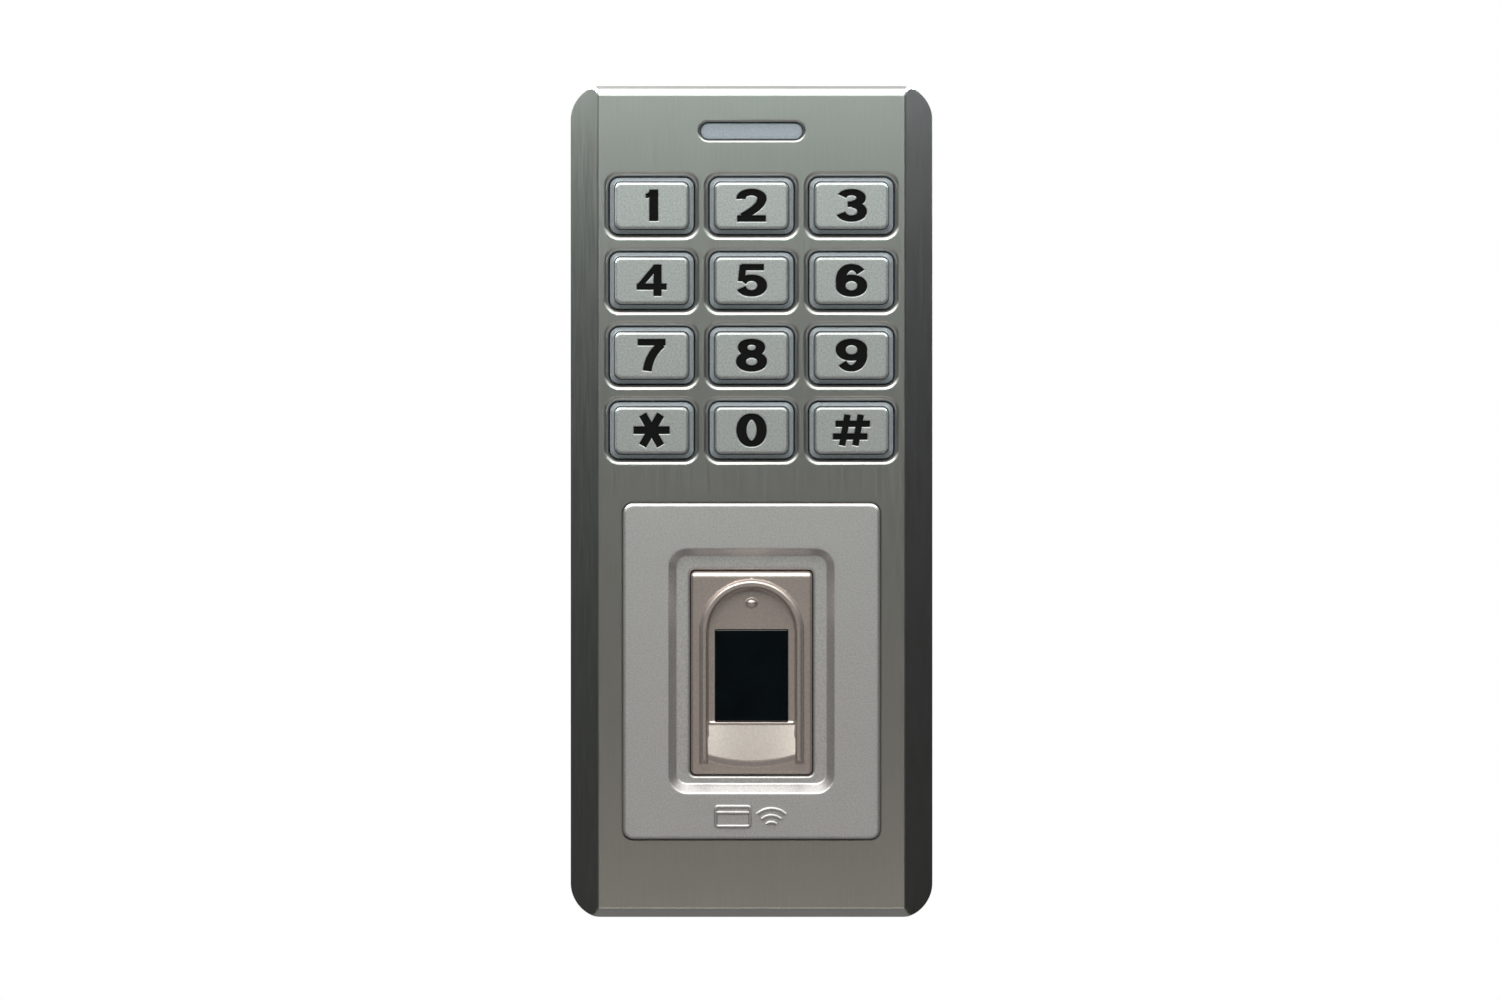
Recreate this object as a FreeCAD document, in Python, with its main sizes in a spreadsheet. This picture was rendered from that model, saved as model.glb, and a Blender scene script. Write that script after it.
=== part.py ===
"""Wall-mounted access terminal: a metal case with twelve sprung keys and a fingerprint reader.

The frame is in millimetres. The wall is the plane Y = 0, the front looks along -Y, +Z is up
and X = 0 is the middle of the object. Z = 0 is half way up the case.
"""

import FreeCAD, Part

import math
import os

import Sketcher

Vector = FreeCAD.Vector

DIMENSIONS = [
    # case
    ("case_width", 70.0, "case, left to right"),
    ("case_height", 160.0, "case, bottom to top"),
    ("case_depth", 25.0, "wall plane to front face"),
    ("case_corner", 6.2, "corner radius seen from the front"),
    ("case_wall", 2.0, "thickness of the case's walls"),
    ("bevel_width", 5.4, "side bevel, seen from the front"),
    ("bevel_depth", 8.0, "side bevel, front to back"),
    ("face_round", 2.0, "round from front face to top and bottom walls"),
    ("bevel_round", 0.6, "round along both edges of a side bevel"),
    ("rim_gap", 0.3, "case rim to wall plane"),
    # keys
    ("key_pitch_across", 19.2, "key columns"),
    ("key_pitch_down", 14.4, "key rows"),
    ("top_row_drop", 23.1, "top key row below the case's top"),
    ("key_hole_width", 16.5, "opening for one key"),
    ("key_hole_height", 11.2, "opening for one key"),
    ("key_hole_corner", 2.0, "opening's corner radius"),
    ("key_hole_round", 1.1, "round on the opening's front edge"),
    ("key_gap", 0.2, "key skirt to opening, all round"),
    ("skirt_rim_side", 0.85, "skirt's rim left and right of the metal cap"),
    ("skirt_rim_end", 0.8, "skirt's rim above and below the metal cap"),
    ("cap_corner", 1.3, "metal key cap's corner radius"),
    ("cap_bevel", 0.55, "bevel round the cap's front face"),
    ("cap_proud", 1.1, "cap's front face before the case's face"),
    ("cap_thick", 2.1, "metal key cap, front to back"),
    ("skirt_proud", 0.15, "skirt's front edge before the case's face"),
    ("skirt_fall", 0.45, "how far the skirt's face falls to its outer edge"),
    ("lip_reach", 0.6, "skirt's lip behind the case, above and below"),
    ("lip_thick", 0.7, "skirt's lip, front to back"),
    ("lip_gap", 0.1, "lip to the case's inner face"),
    ("key_travel", 0.8, "key travel"),
    ("travel_gap", 0.05, "pill to board at the end of the travel"),
    ("pill_width", 4.4, "conductive pill's diameter"),
    ("pill_thick", 0.35, "conductive pill"),
    ("pill_stem_rim", 0.3, "skirt's stem beyond the pill, all round"),
    ("mat_thick", 2.4, "keypad mat, case's inner face to board"),
    ("mat_margin", 1.5, "mat beyond the pockets, above and below"),
    ("mat_side_margin", 0.5, "mat beyond the pockets, left and right"),
    ("mat_corner", 1.0, "mat's corner radius"),
    ("pocket_gap", 0.3, "key skirt to mat pocket"),
    # status light
    ("slot_width", 20.0, "status light's slot"),
    ("slot_height", 3.5, "status light's slot"),
    ("slot_drop", 8.7, "slot's middle below the case's top"),
    ("slot_round", 0.5, "round on the slot's front edge"),
    ("lens_sunk", 0.9, "lens behind the case's face"),
    ("lens_gap", 0.15, "lens to slot"),
    ("lens_rim", 1.5, "lens flange beyond the slot"),
    ("lens_rim_thick", 0.9, "lens flange"),
    ("lens_rim_corner", 1.0, "lens flange's corner radius"),
    ("status_led_pitch", 6.0, "status lights, left to right"),
    ("status_led_width", 3.5, "one status light"),
    ("status_led_height", 2.8, "one status light"),
    ("status_led_thick", 0.9, "status light on the board's front"),
    # card panel and finger guide
    ("panel_width", 49.6, "card panel"),
    ("panel_height", 64.8, "card panel"),
    ("panel_corner", 2.0, "card panel's corner radius"),
    ("panel_rise", 47.4, "card panel's middle above the case's bottom"),
    ("panel_proud", 0.8, "panel's face before the case's face"),
    ("panel_edge", 0.5, "round on the panel's edge"),
    ("panel_gap", 0.2, "panel to its seat, all round"),
    ("seat_depth", 1.1, "seat in the case's face"),
    ("tape_thick", 0.2, "adhesive gasket under the panel"),
    ("ledge_side", 2.3, "panel's seat left and right of the window in the case"),
    ("ledge_end", 2.2, "panel's seat above and below the window in the case"),
    ("dish_width", 31.5, "recess in the panel, at the face"),
    ("dish_height", 46.8, "recess in the panel, at the face"),
    ("dish_corner", 3.4, "recess corner radius"),
    ("dish_depth", 1.9, "recess depth"),
    ("dish_slope", 1.6, "width of the recess's sloping side"),
    ("dish_floor_thick", 1.8, "panel material behind the recess"),
    ("dish_wall", 1.4, "panel material beside the recess"),
    ("guide_width", 23.3, "finger guide's frame"),
    ("guide_height", 39.2, "finger guide's frame"),
    ("guide_corner", 0.8, "finger guide's corner radius"),
    ("guide_gap", 0.15, "finger guide to panel"),
    ("guide_proud", 0.5, "guide's frame before the recess floor"),
    ("guide_edge", 0.4, "round on the guide's frame"),
    ("guide_flange", 2.9, "guide's flange beyond its frame"),
    ("guide_flange_thick", 1.2, "guide's flange"),
    ("ridge_rise", 1.5, "horseshoe ridge before the frame"),
    ("ridge_width", 19.2, "horseshoe ridge, outside"),
    ("ridge_top_margin", 1.6, "guide's upper edge to the ridge's crown"),
    ("ridge_foot_margin", 2.6, "guide's lower edge to the ridge's feet"),
    ("trough_width", 16.6, "finger trough"),
    ("trough_depth", 1.8, "ridge to the floor of the trough"),
    ("ramp_start", 9.8, "ramp's start below the guide's middle"),
    ("crest_margin", 3.2, "guide's lower edge to the ramp's crest"),
    ("ramp_rise", 1.3, "ramp's height at its crest"),
    ("glass_width", 13.9, "sensor window"),
    ("glass_height", 17.5, "sensor window"),
    ("glass_drop", 0.9, "window's middle below the guide's middle"),
    ("glass_gap", 0.1, "window to guide"),
    ("nub_drop", 4.7, "nub's middle below the ridge's crown"),
    ("nub_width", 1.7, "nub's diameter"),
    ("post_width", 5.0, "panel post's diameter"),
    ("post_side_gap", 1.2, "panel post to the window's side"),
    ("post_end_gap", 1.7, "panel post to the window's end"),
    ("post_hole_depth", 1.9, "screw holes in the panel's posts"),
    ("guide_hole_depth", 1.3, "module screws' holes in the panel"),
    ("clamp_bearing", 1.5, "clamp frame beyond the window, all round"),
    ("clamp_thick", 1.2, "clamp frame"),
    ("clamp_corner", 3.0, "clamp frame's corner radius"),
    ("clamp_corner_band", 0.5, "how much sharper the clamp frame's inner corners are"),
    ("clamp_gap", 0.8, "clamp frame to the recess's back, all round"),
    ("coil_bearing", 1.2, "antenna coil beyond the window, all round"),
    ("coil_band", 2.7, "width of the coil's winding"),
    ("coil_thick", 2.6, "coil, front to back"),
    ("coil_corner", 4.0, "coil's corner radius"),
    # fingerprint module
    ("module_width", 21.0, "module housing"),
    ("module_height", 34.0, "module housing"),
    ("module_depth", 10.0, "module housing behind its flange"),
    ("module_flange_thick", 1.4, "module housing's flange"),
    ("module_screw_margin", 1.3, "module screws outside the guide's frame"),
    ("sensor_board_thick", 1.2, "module's board"),
    ("sensor_board_tab", 5.0, "module's board above its housing"),
    ("sensor_board_inset", 0.5, "module's board inside its housing's outline"),
    ("module_flange_corner", 1.5, "module housing's and guide's flange corner radius"),
    ("module_corner", 1.0, "module housing's corner radius"),
    ("plug_width", 11.0, "ribbon connector"),
    ("plug_height", 3.2, "ribbon connector"),
    ("plug_depth", 3.0, "ribbon connector"),
    ("plug_inset", 0.6, "ribbon connector below the module board's upper edge"),
    ("board_plug_up", 2.0, "ribbon connector above the main board's lower edge"),
    ("ribbon_width", 8.0, "ribbon"),
    ("ribbon_thick", 0.3, "ribbon"),
    # main board
    ("board_width", 58.6, "main board"),
    ("board_thick", 1.6, "main board"),
    ("board_height", 75.1, "main board"),
    ("board_drop", 4.8, "board's upper edge below the case's top"),
    ("board_notch_width", 5.0, "notch in the board's upper corners"),
    ("board_notch_height", 5.6, "notch in the board's upper corners"),
    ("board_post_across", 42.0, "board posts, left to right"),
    ("board_post_low", 2.5, "lower board posts above the board's lower edge"),
    ("board_post_high", 7.6, "upper board posts below the board's upper edge"),
    ("board_post_width", 4.6, "board post's diameter"),
    ("led_height", 0.6, "key light on the board's front"),
    ("key_led_pitch", 11.6, "a key's two lights, left to right"),
    ("key_led_width", 0.8, "one key light"),
    ("key_led_length", 1.6, "one key light"),
    ("buzzer_mouth", 2.2, "buzzer's sound hole"),
    ("tamper_sensor_width", 5.0, "tamper sensor"),
    ("tamper_sensor_thick", 2.0, "tamper sensor"),
    # rear cover
    ("boss_across", 55.2, "cover bosses, left to right"),
    ("boss_low", 4.9, "lower cover bosses above the cross wall"),
    ("boss_high", 7.0, "upper cover bosses below the case's top"),
    ("boss_width", 5.4, "cover boss's diameter"),
    ("cover_back", 5.0, "cover's back face to the wall plane"),
    ("cover_thick", 2.0, "rear cover"),
    ("cover_gap", 0.3, "rear cover to case"),
    ("cover_lip", 3.0, "cover's rim, front to back"),
    ("cover_lip_thick", 1.6, "cover's rim"),
    ("seal_inset", 0.7, "seal behind the rim's front edge"),
    ("seal_width", 1.4, "seal, front to back"),
    ("seal_sunk", 0.7, "seal's groove in the rim"),
    ("bulkhead_rise", 14.3, "cross wall's upper face above the case's bottom"),
    ("bulkhead_thick", 2.0, "case's cross wall"),
    ("cable_up", 12.0, "cable outlet above the middle of the case"),
    ("cable_bore", 6.0, "bore of the cable grommet"),
    ("grommet_width", 10.0, "grommet's neck in the cover"),
    ("grommet_lip", 2.0, "grommet's lips beyond its neck"),
    ("grommet_front", 1.2, "grommet's lip inside the cover"),
    ("grommet_back", 1.5, "grommet's lip behind the cover"),
    ("pipe_across", 16.0, "tamper light pipe, from the middle"),
    ("pipe_up", 39.9, "tamper light pipe above the board's lower edge"),
    ("pipe_width", 3.5, "tamper light pipe"),
    ("pipe_gap", 2.5, "light pipe to the main board"),
    ("pipe_collar", 1.0, "light pipe's collar beyond it, and front to back"),
    # mounting plate
    ("plate_thick", 1.5, "mounting plate"),
    ("plate_gap", 0.5, "mounting plate to case"),
    ("wall_hole", 4.5, "holes for wall screws"),
    ("wall_holes_across", 44.0, "wall screw holes, left to right"),
    ("wall_holes_up", 116.0, "wall screw holes, bottom to top"),
    ("box_holes_up", 60.0, "wall box screw holes, bottom to top"),
    ("plate_cable_hole", 16.0, "cable hole in the plate"),
    ("hook_across", 36.0, "hooks, left to right"),
    ("hook_width", 10.0, "one hook"),
    ("hook_sheet", 1.4, "hook's bent sheet"),
    ("hook_slot_side", 2.0, "window in the plate beyond a hook, left and right"),
    ("rib_side", 1.0, "case's rib beyond a hook, left and right"),
    ("rib_gap", 0.1, "hook's foot to the case's rib, upwards"),
    ("hook_drop", 5.0, "hook's foot below the case's inner top"),
    ("hook_tip_gap", 1.0, "hook's tip below the case's inner top"),
    ("hook_gap", 0.3, "hook to the case's rib"),
    ("rib_thick", 1.2, "case's rib behind the hooks"),
    ("lock_width", 14.0, "locking flange"),
    ("lock_back", 7.0, "locking screw's axis to the wall plane"),
    ("lock_reach", 5.0, "locking flange and boss beyond the screw's axis"),
    ("lock_corner", 3.0, "locking flange's corner radius"),
    ("lock_boss_width", 10.0, "locking screw's boss"),
    ("lock_boss_rise", 2.4, "boss above the case's bottom wall"),
    ("lock_gap", 0.3, "boss to locking flange"),
    ("lock_screw", 2.9, "locking screw's diameter"),
    ("lock_screw_length", 7.0, "locking screw below its head"),
    ("lock_screw_gap", 0.25, "locking screw to the case, all round"),
    ("lock_head_gap", 0.3, "locking screw's head to the case, all round"),
    ("lock_head", 5.6, "locking screw's head"),
    ("lock_head_sunk", 0.1, "locking screw's head inside the case's underside"),
    ("lock_head_thick", 1.9, "locking screw's head"),
    # fasteners
    ("thread_gap", 0.05, "screw to its thread, all round"),
    ("hole_gap", 0.15, "screw to the hole that it passes through, all round"),
    ("clamp_screw_bite", 1.6, "clamp screws in the panel's posts"),
    ("module_screw_bite", 1.1, "module screws in the panel"),
    ("board_screw_bite", 2.0, "board screws in their posts"),
    ("cover_screw_bite", 6.0, "cover screws in their bosses"),
    ("small_screw", 1.9, "small screw's diameter"),
    ("small_head", 3.7, "small screw's head"),
    ("small_head_thick", 1.3, "small screw's head"),
    ("board_screw", 2.4, "board and cover screws' diameter"),
    ("board_head", 4.4, "board and cover screws' head"),
    ("board_head_thick", 1.6, "board and cover screws' head"),
]


class Size:
    """A length: its value in millimetres, and the expression that gives it from the sheet."""

    def __init__(self, value, text=None):
        self.value = float(value)
        self.text = text if text is not None else f"({self.value:.6g})"

    @staticmethod
    def of(number):
        return number if isinstance(number, Size) else Size(number)

    def _with(self, other, sign, value):
        return Size(value, f"({self.text} {sign} {other.text})")

    def __add__(self, other):
        other = Size.of(other)
        return self._with(other, "+", self.value + other.value)

    def __sub__(self, other):
        other = Size.of(other)
        return self._with(other, "-", self.value - other.value)

    def __mul__(self, other):
        other = Size.of(other)
        return self._with(other, "*", self.value * other.value)

    def __truediv__(self, other):
        other = Size.of(other)
        return self._with(other, "/", self.value / other.value)

    def __radd__(self, other):
        return Size.of(other) + self

    def __rsub__(self, other):
        return Size.of(other) - self

    def __rmul__(self, other):
        return Size.of(other) * self

    def __neg__(self):
        return Size(0) - self


class Dimensions:
    """The driving dimensions, kept in the document's spreadsheet and read as attributes."""

    def __init__(self, doc):
        self._sheet = doc.addObject("Spreadsheet::Sheet", "dims")
        for row, (name, value, note) in enumerate(DIMENSIONS, 1):
            self._sheet.set(f"A{row}", name)
            self._sheet.set(f"B{row}", str(value))
            self._sheet.setAlias(f"B{row}", name)
            self._sheet.set(f"C{row}", note)
        doc.recompute()

    def __getattr__(self, name):
        return Size(self._sheet.get(name), f"dims.{name}")


class Places:
    """Planes, lines and sizes that several pieces share, worked out from the dimensions."""

    def __init__(self, d):
        # case
        self.top, self.underside = d.case_height / 2, -d.case_height / 2
        self.face = -d.case_depth
        self.inner_face = self.face + d.case_wall
        self.rim = -d.rim_gap
        self.inner_half_width = d.case_width / 2 - d.case_wall
        self.inner_half_height = d.case_height / 2 - d.case_wall
        self.inner_corner = d.case_corner - d.case_wall
        self.slot_up = self.top - d.slot_drop
        self.bulkhead_top = self.underside + d.bulkhead_rise
        self.bulkhead_bottom = self.bulkhead_top - d.bulkhead_thick
        # keys
        self.cap_front = self.face - d.cap_proud
        self.cap_back = self.cap_front + d.cap_thick
        self.skirt_front = self.face - d.skirt_proud
        self.lip_front = self.inner_face + d.lip_gap
        self.lip_back = self.lip_front + d.lip_thick
        self.skirt_width = d.key_hole_width - 2 * d.key_gap
        self.skirt_height = d.key_hole_height - 2 * d.key_gap
        self.skirt_corner = d.key_hole_corner - d.key_gap
        self.cap_width = self.skirt_width - 2 * d.skirt_rim_side
        self.cap_height = self.skirt_height - 2 * d.skirt_rim_end
        self.lip_height = d.key_hole_height + 2 * d.lip_reach
        self.pocket_width = self.skirt_width + 2 * d.pocket_gap
        self.pocket_height = self.lip_height + 2 * d.pocket_gap
        self.key_columns = [-d.key_pitch_across, Size(0), 1 * d.key_pitch_across]
        self.key_rows = [self.top - d.top_row_drop - row * d.key_pitch_down for row in range(4)]
        # main board
        self.board_front = self.inner_face + d.mat_thick
        self.board_back = self.board_front + d.board_thick
        self.board_top = self.top - d.board_drop
        self.board_bottom = self.board_top - d.board_height
        self.board_posts = (
            d.board_post_across,
            self.board_bottom + d.board_post_low,
            self.board_top - d.board_post_high,
        )
        self.pill_back = self.board_front - d.key_travel - d.travel_gap
        self.pill_front = self.pill_back - d.pill_thick
        self.pipe_up = self.board_bottom + d.pipe_up
        # card panel
        self.panel_middle = self.underside + d.panel_rise
        self.panel_front = self.face - d.panel_proud
        self.seat = self.face + d.seat_depth
        self.panel_rim_back = self.seat - d.tape_thick
        self.dish_floor = self.panel_front + d.dish_depth
        self.dish_back = self.dish_floor + d.dish_floor_thick
        self.clamp_back = self.inner_face + d.clamp_thick
        self.window_width = d.panel_width - 2 * d.ledge_side
        self.window_height = d.panel_height - 2 * d.ledge_end
        self.tub_width = d.dish_width + 2 * d.dish_wall
        self.tub_height = d.dish_height + 2 * d.dish_wall
        self.panel_posts = self.about_panel(
            self.window_width - d.post_width - 2 * d.post_side_gap,
            self.window_height - d.post_width - 2 * d.post_end_gap,
        )
        # finger guide and module
        self.guide_front = self.dish_floor - d.guide_proud
        self.ridge_front = self.guide_front - d.ridge_rise
        self.trough_floor = self.ridge_front + d.trough_depth
        self.guide_back = self.dish_back + d.guide_flange_thick
        self.ridge_crown = self.panel_middle + d.guide_height / 2 - d.ridge_top_margin
        self.ridge_foot = self.panel_middle - d.guide_height / 2 + d.ridge_foot_margin
        self.module_flange_back = self.guide_back + d.module_flange_thick
        self.module_back = self.module_flange_back + d.module_depth
        self.sensor_board_back = self.module_back + d.sensor_board_thick
        self.flange_width = d.guide_width + 2 * d.guide_flange
        self.flange_height = d.guide_height + 2 * d.guide_flange
        self.module_screws = self.about_panel(
            d.guide_width + 2 * d.module_screw_margin,
            d.guide_height + 2 * d.module_screw_margin,
        )
        # rear cover, plate and locking screw
        self.cover_back = -d.cover_back
        self.cover_front = self.cover_back - d.cover_thick
        self.cover_lip_front = self.cover_front - d.cover_lip
        self.cover_top = self.inner_half_height - d.cover_gap
        self.cover_bottom = self.bulkhead_top + d.cover_gap
        self.cover_half_width = self.inner_half_width - d.cover_gap
        self.cover_bosses = (
            d.boss_across,
            self.bulkhead_top + d.boss_low,
            self.top - d.boss_high,
        )
        self.plate_front = -d.plate_thick
        self.hook_foot = self.inner_half_height - d.hook_drop
        self.hook_foot_top = self.hook_foot + d.hook_sheet
        self.rib_back = self.plate_front - 0.2
        self.rib_front = self.rib_back - d.rib_thick
        self.hook_back = self.rib_front - d.hook_gap
        self.hook_front = self.hook_back - d.hook_sheet
        self.lock_boss_top = self.underside + d.case_wall + d.lock_boss_rise
        self.lock_seat = self.underside + d.lock_head_sunk + d.lock_head_thick

    def about_panel(self, across, up):
        """Where a rectangle of four fixings lies: its width, lowest and highest line."""
        return across, self.panel_middle - up / 2, self.panel_middle + up / 2


# Components on the main board's back: label, from the middle, above the board's lower edge,
# width, height and thickness. A round one has a diameter in place of width and height.
BOARD_BLOCKS = [
    ("processor", -12.0, 38.0, 10.0, 10.0, 1.4),
    ("relay", 16.5, 56.5, 15.5, 12.0, 10.4),
    ("cable_header", 0.0, 24.0, 20.0, 5.6, 6.0),
]
DRIVER_CHIPS = [
    ("keypad_driver", 3.0, 40.0, 5.0, 4.0, 1.5),
    ("bus_driver", -14.0, 24.0, 5.0, 4.0, 1.5),
    ("relay_driver", 2.0, 50.0, 5.0, 4.0, 1.5),
]
CAPACITORS = [
    ("supply_capacitor_1", -5.0, 62.0, 6.3, 7.7),
    ("supply_capacitor_2", 2.5, 62.0, 6.3, 7.7),
    ("output_capacitor", 20.0, 26.0, 5.0, 5.4),
]
BUZZER = ("buzzer_case", -17.5, 56.0, 12.0, 7.5)

KEY_NAMES = [["1", "2", "3"], ["4", "5", "6"], ["7", "8", "9"], ["star", "0", "hash"]]

# ---------------------------------------------------------------- sketches

ORIGIN = (-1, 1)


def bind(obj, prop, size):
    """Sets a property and ties it to the sheet."""
    obj.setExpression(prop, Size.of(size).text)


def new_sketch(body, plane, offset, name):
    """A sketch on the body's own XY, XZ or YZ plane. On XZ it lies at Y = offset."""
    sketch = body.newObject("Sketcher::SketchObject", name)
    support = [f for f in body.Origin.OriginFeatures if f.Role == plane + "_Plane"]
    sketch.AttachmentSupport = [(support[0], "")]
    sketch.MapMode = "FlatFace"
    along_normal = -Size.of(offset) if plane == "XZ" else Size.of(offset)
    bind(sketch, "AttachmentOffset.Base.z", along_normal)
    return sketch


def place_point(sketch, geometry, position, x, y):
    """Ties a point of the sketch to two sizes."""
    for kind, size in (("DistanceX", x), ("DistanceY", y)):
        size = Size.of(size)
        index = sketch.addConstraint(
            Sketcher.Constraint(kind, *ORIGIN, geometry, position, size.value)
        )
        bind(sketch, f"Constraints[{index}]", size)


def tie(sketch, kind, geometry, size):
    """A radius constraint tied to a size."""
    size = Size.of(size)
    index = sketch.addConstraint(Sketcher.Constraint(kind, geometry, size.value))
    bind(sketch, f"Constraints[{index}]", size)


def add_circle(sketch, x, y, diameter):
    x, y, radius = Size.of(x), Size.of(y), Size.of(diameter) / 2
    circle = Part.Circle(Vector(x.value, y.value, 0), Vector(0, 0, 1), radius.value)
    index = sketch.addGeometry(circle)
    place_point(sketch, index, 3, x, y)
    tie(sketch, "Radius", index, radius)


def add_loop(sketch, points, arcs=None):
    """A closed outline through the points. arcs gives, for the edge that leaves a point,
    its radius and +1 if it turns to the left or -1 if it turns to the right."""
    arcs = arcs or {}
    points = [(Size.of(x), Size.of(y)) for x, y in points]
    edges = []
    for i, (x, y) in enumerate(points):
        nx, ny = points[(i + 1) % len(points)]
        start, end = Vector(x.value, y.value, 0), Vector(nx.value, ny.value, 0)
        if i in arcs:
            radius, turn = Size.of(arcs[i][0]), arcs[i][1]
            half = (end - start) / 2
            side = Vector(-half.y, half.x, 0).normalize()
            reach = math.sqrt(max(radius.value**2 - half.Length**2, 0))
            centre = start + half + side * (turn * reach)
            a0 = math.atan2(start.y - centre.y, start.x - centre.x)
            a1 = math.atan2(end.y - centre.y, end.x - centre.x)
            circle = Part.Circle(centre, Vector(0, 0, 1), radius.value)
            first, last = (a0, a1) if turn > 0 else (a1, a0)
            index = sketch.addGeometry(Part.ArcOfCircle(circle, first, last))
            tie(sketch, "Radius", index, radius)
            edges.append((index, 1, 2) if turn > 0 else (index, 2, 1))
        else:
            index = sketch.addGeometry(Part.LineSegment(start, end))
            edges.append((index, 1, 2))
    for i, (index, first, _) in enumerate(edges):
        before, _, last = edges[i - 1]
        sketch.addConstraint(Sketcher.Constraint("Coincident", before, last, index, first))
        place_point(sketch, index, first, *points[i])


def box_points(x0, x1, y0, y1):
    return [(x0, y0), (x1, y0), (x1, y1), (x0, y1)]


def add_round_box(sketch, x0, x1, y0, y1, radius):
    """A rectangle with four equal rounded corners."""
    x0, x1, y0, y1 = (Size.of(v) for v in (x0, x1, y0, y1))
    r = Size.of(radius)
    points = [
        (x0 + r, y0), (x1 - r, y0), (x1, y0 + r), (x1, y1 - r),
        (x1 - r, y1), (x0 + r, y1), (x0, y1 - r), (x0, y0 + r),
    ]
    add_loop(sketch, points, {i: (r, 1) for i in (1, 3, 5, 7)})


def add_centred_round_box(sketch, width, height, up, radius, across=0):
    across = Size.of(across)
    add_round_box(
        sketch,
        across - width / 2,
        across + width / 2,
        up - height / 2,
        up + height / 2,
        radius,
    )


# ---------------------------------------------------------------- features


def new_body(doc, label, several=False):
    body = doc.addObject("PartDesign::Body", label)
    body.Label = label
    body.AllowCompound = several
    return body


def add_feature(body, kind, sketch, length, grows, reverse=False, symmetric=False):
    """A pad or pocket, checked to have added or removed material."""
    before = body.Shape.Volume if body.Tip else 0.0
    feature = body.newObject("PartDesign::" + kind, kind.lower())
    feature.Profile = sketch
    feature.Reversed = reverse
    if symmetric:
        feature.SideType = "Symmetric"
    bind(feature, "Length", length)
    body.Document.recompute()
    change = body.Shape.Volume - before
    if change * grows <= 0:
        raise ValueError(f"{body.Label}: {feature.Name} changed the volume by {change:.3f}")
    return feature


def pad(body, sketch, length, **options):
    return add_feature(body, "Pad", sketch, length, 1, **options)


def pocket(body, sketch, length, **options):
    return add_feature(body, "Pocket", sketch, length, -1, **options)


def pad_between(body, draw, front, back):
    """Pads what draw(sketch) draws, from the plane Y = back forward to Y = front."""
    sketch = new_sketch(body, "XZ", back, "outline")
    draw(sketch)
    return pad(body, sketch, Size.of(back) - Size.of(front))


def pocket_between(body, draw, front, back):
    """Cuts what draw(sketch) draws, from the plane Y = front back to Y = back."""
    sketch = new_sketch(body, "XZ", front, "cut")
    draw(sketch)
    return pocket(body, sketch, Size.of(back) - Size.of(front))


def edges_where(shape, test):
    """Names of the shape's edges whose box passes the test."""
    return [f"Edge{i}" for i, e in enumerate(shape.Edges, 1) if test(e.BoundBox)]


def round_edges(body, radius, test, kind="Fillet"):
    """Rounds or chamfers the edges of the body that pass the test."""
    base = body.Tip
    names = edges_where(base.Shape, test)
    if not names:
        raise ValueError(f"{body.Label}: no edge to round")
    feature = body.newObject("PartDesign::" + kind, kind.lower())
    feature.Base = (base, names)
    bind(feature, "Radius" if kind == "Fillet" else "Size", radius)
    body.Document.recompute()
    if feature.Shape.isNull():
        raise ValueError(f"{body.Label}: {feature.Name} could not be made")
    return feature


def flat_at(y, x_limit=None, z_low=None, z_high=None):
    """A test for edges in the plane Y = y, within limits if they are given."""
    small = 1e-3

    def test(box):
        if abs(box.YMin - y.value) > small or abs(box.YMax - y.value) > small:
            return False
        if x_limit is not None and max(-box.XMin, box.XMax) > x_limit.value + small:
            return False
        if z_low is not None and box.ZMin < z_low.value - small:
            return False
        return z_high is None or box.ZMax <= z_high.value + small

    return test


def repeat(body, feature, steps, whole=False):
    """Repeats a feature, or the whole body, along up to two of the body's axes.
    steps is a list of (axis, spacing, count)."""
    pattern = body.newObject("PartDesign::LinearPattern", "pattern")
    if whole:
        pattern.TransformMode = "Whole shape"
    pattern.Originals = [feature]
    for suffix, (axis, spacing, count) in zip(("", "2"), steps):
        line = [f for f in body.Origin.OriginFeatures if f.Role == axis + "_Axis"]
        setattr(pattern, "Direction" + suffix, (line[0], [""]))
        setattr(pattern, "Mode" + suffix, "Extent")
        setattr(pattern, "Reversed" + suffix, Size.of(spacing).value < 0)
        setattr(pattern, "Occurrences" + suffix, count)
        length = Size.of(spacing) * (count - 1)
        bind(pattern, "Length" + suffix, length if length.value > 0 else -length)
    body.Tip = pattern
    body.Document.recompute()
    return pattern


def box_part(doc, label, x0, x1, y0, y1, z0, z1):
    """A Part box between six planes."""
    box = doc.addObject("Part::Box", label)
    box.Label = label
    for side, edge, low, high in (
        ("Length", "x", x0, x1),
        ("Width", "y", y0, y1),
        ("Height", "z", z0, z1),
    ):
        low, high = Size.of(low), Size.of(high)
        bind(box, side, high - low)
        bind(box, f"Placement.Base.{edge}", low)
    return box


def rod_part(doc, label, x, z, diameter, front, back):
    """A Part cylinder along Y."""
    rod = doc.addObject("Part::Cylinder", label)
    rod.Label = label
    rod.Placement = FreeCAD.Placement(Vector(), FreeCAD.Rotation(Vector(1, 0, 0), -90))
    bind(rod, "Radius", Size.of(diameter) / 2)
    bind(rod, "Height", Size.of(back) - Size.of(front))
    for edge, size in (("x", x), ("y", front), ("z", z)):
        bind(rod, f"Placement.Base.{edge}", size)
    return rod


def cut_part(doc, label, base, tool):
    cut = doc.addObject("Part::Cut", label)
    cut.Label = label
    cut.Base, cut.Tool = base, tool
    return cut


def group_part(doc, label, members, kind="Part::Compound"):
    """Several solids under one label, or one solid fused from several."""
    group = doc.addObject(kind, label)
    group.Label = label
    if kind == "Part::Compound":
        group.Links = members
    else:
        group.Shapes = members
    return group


# ---------------------------------------------------------------- case


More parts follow.
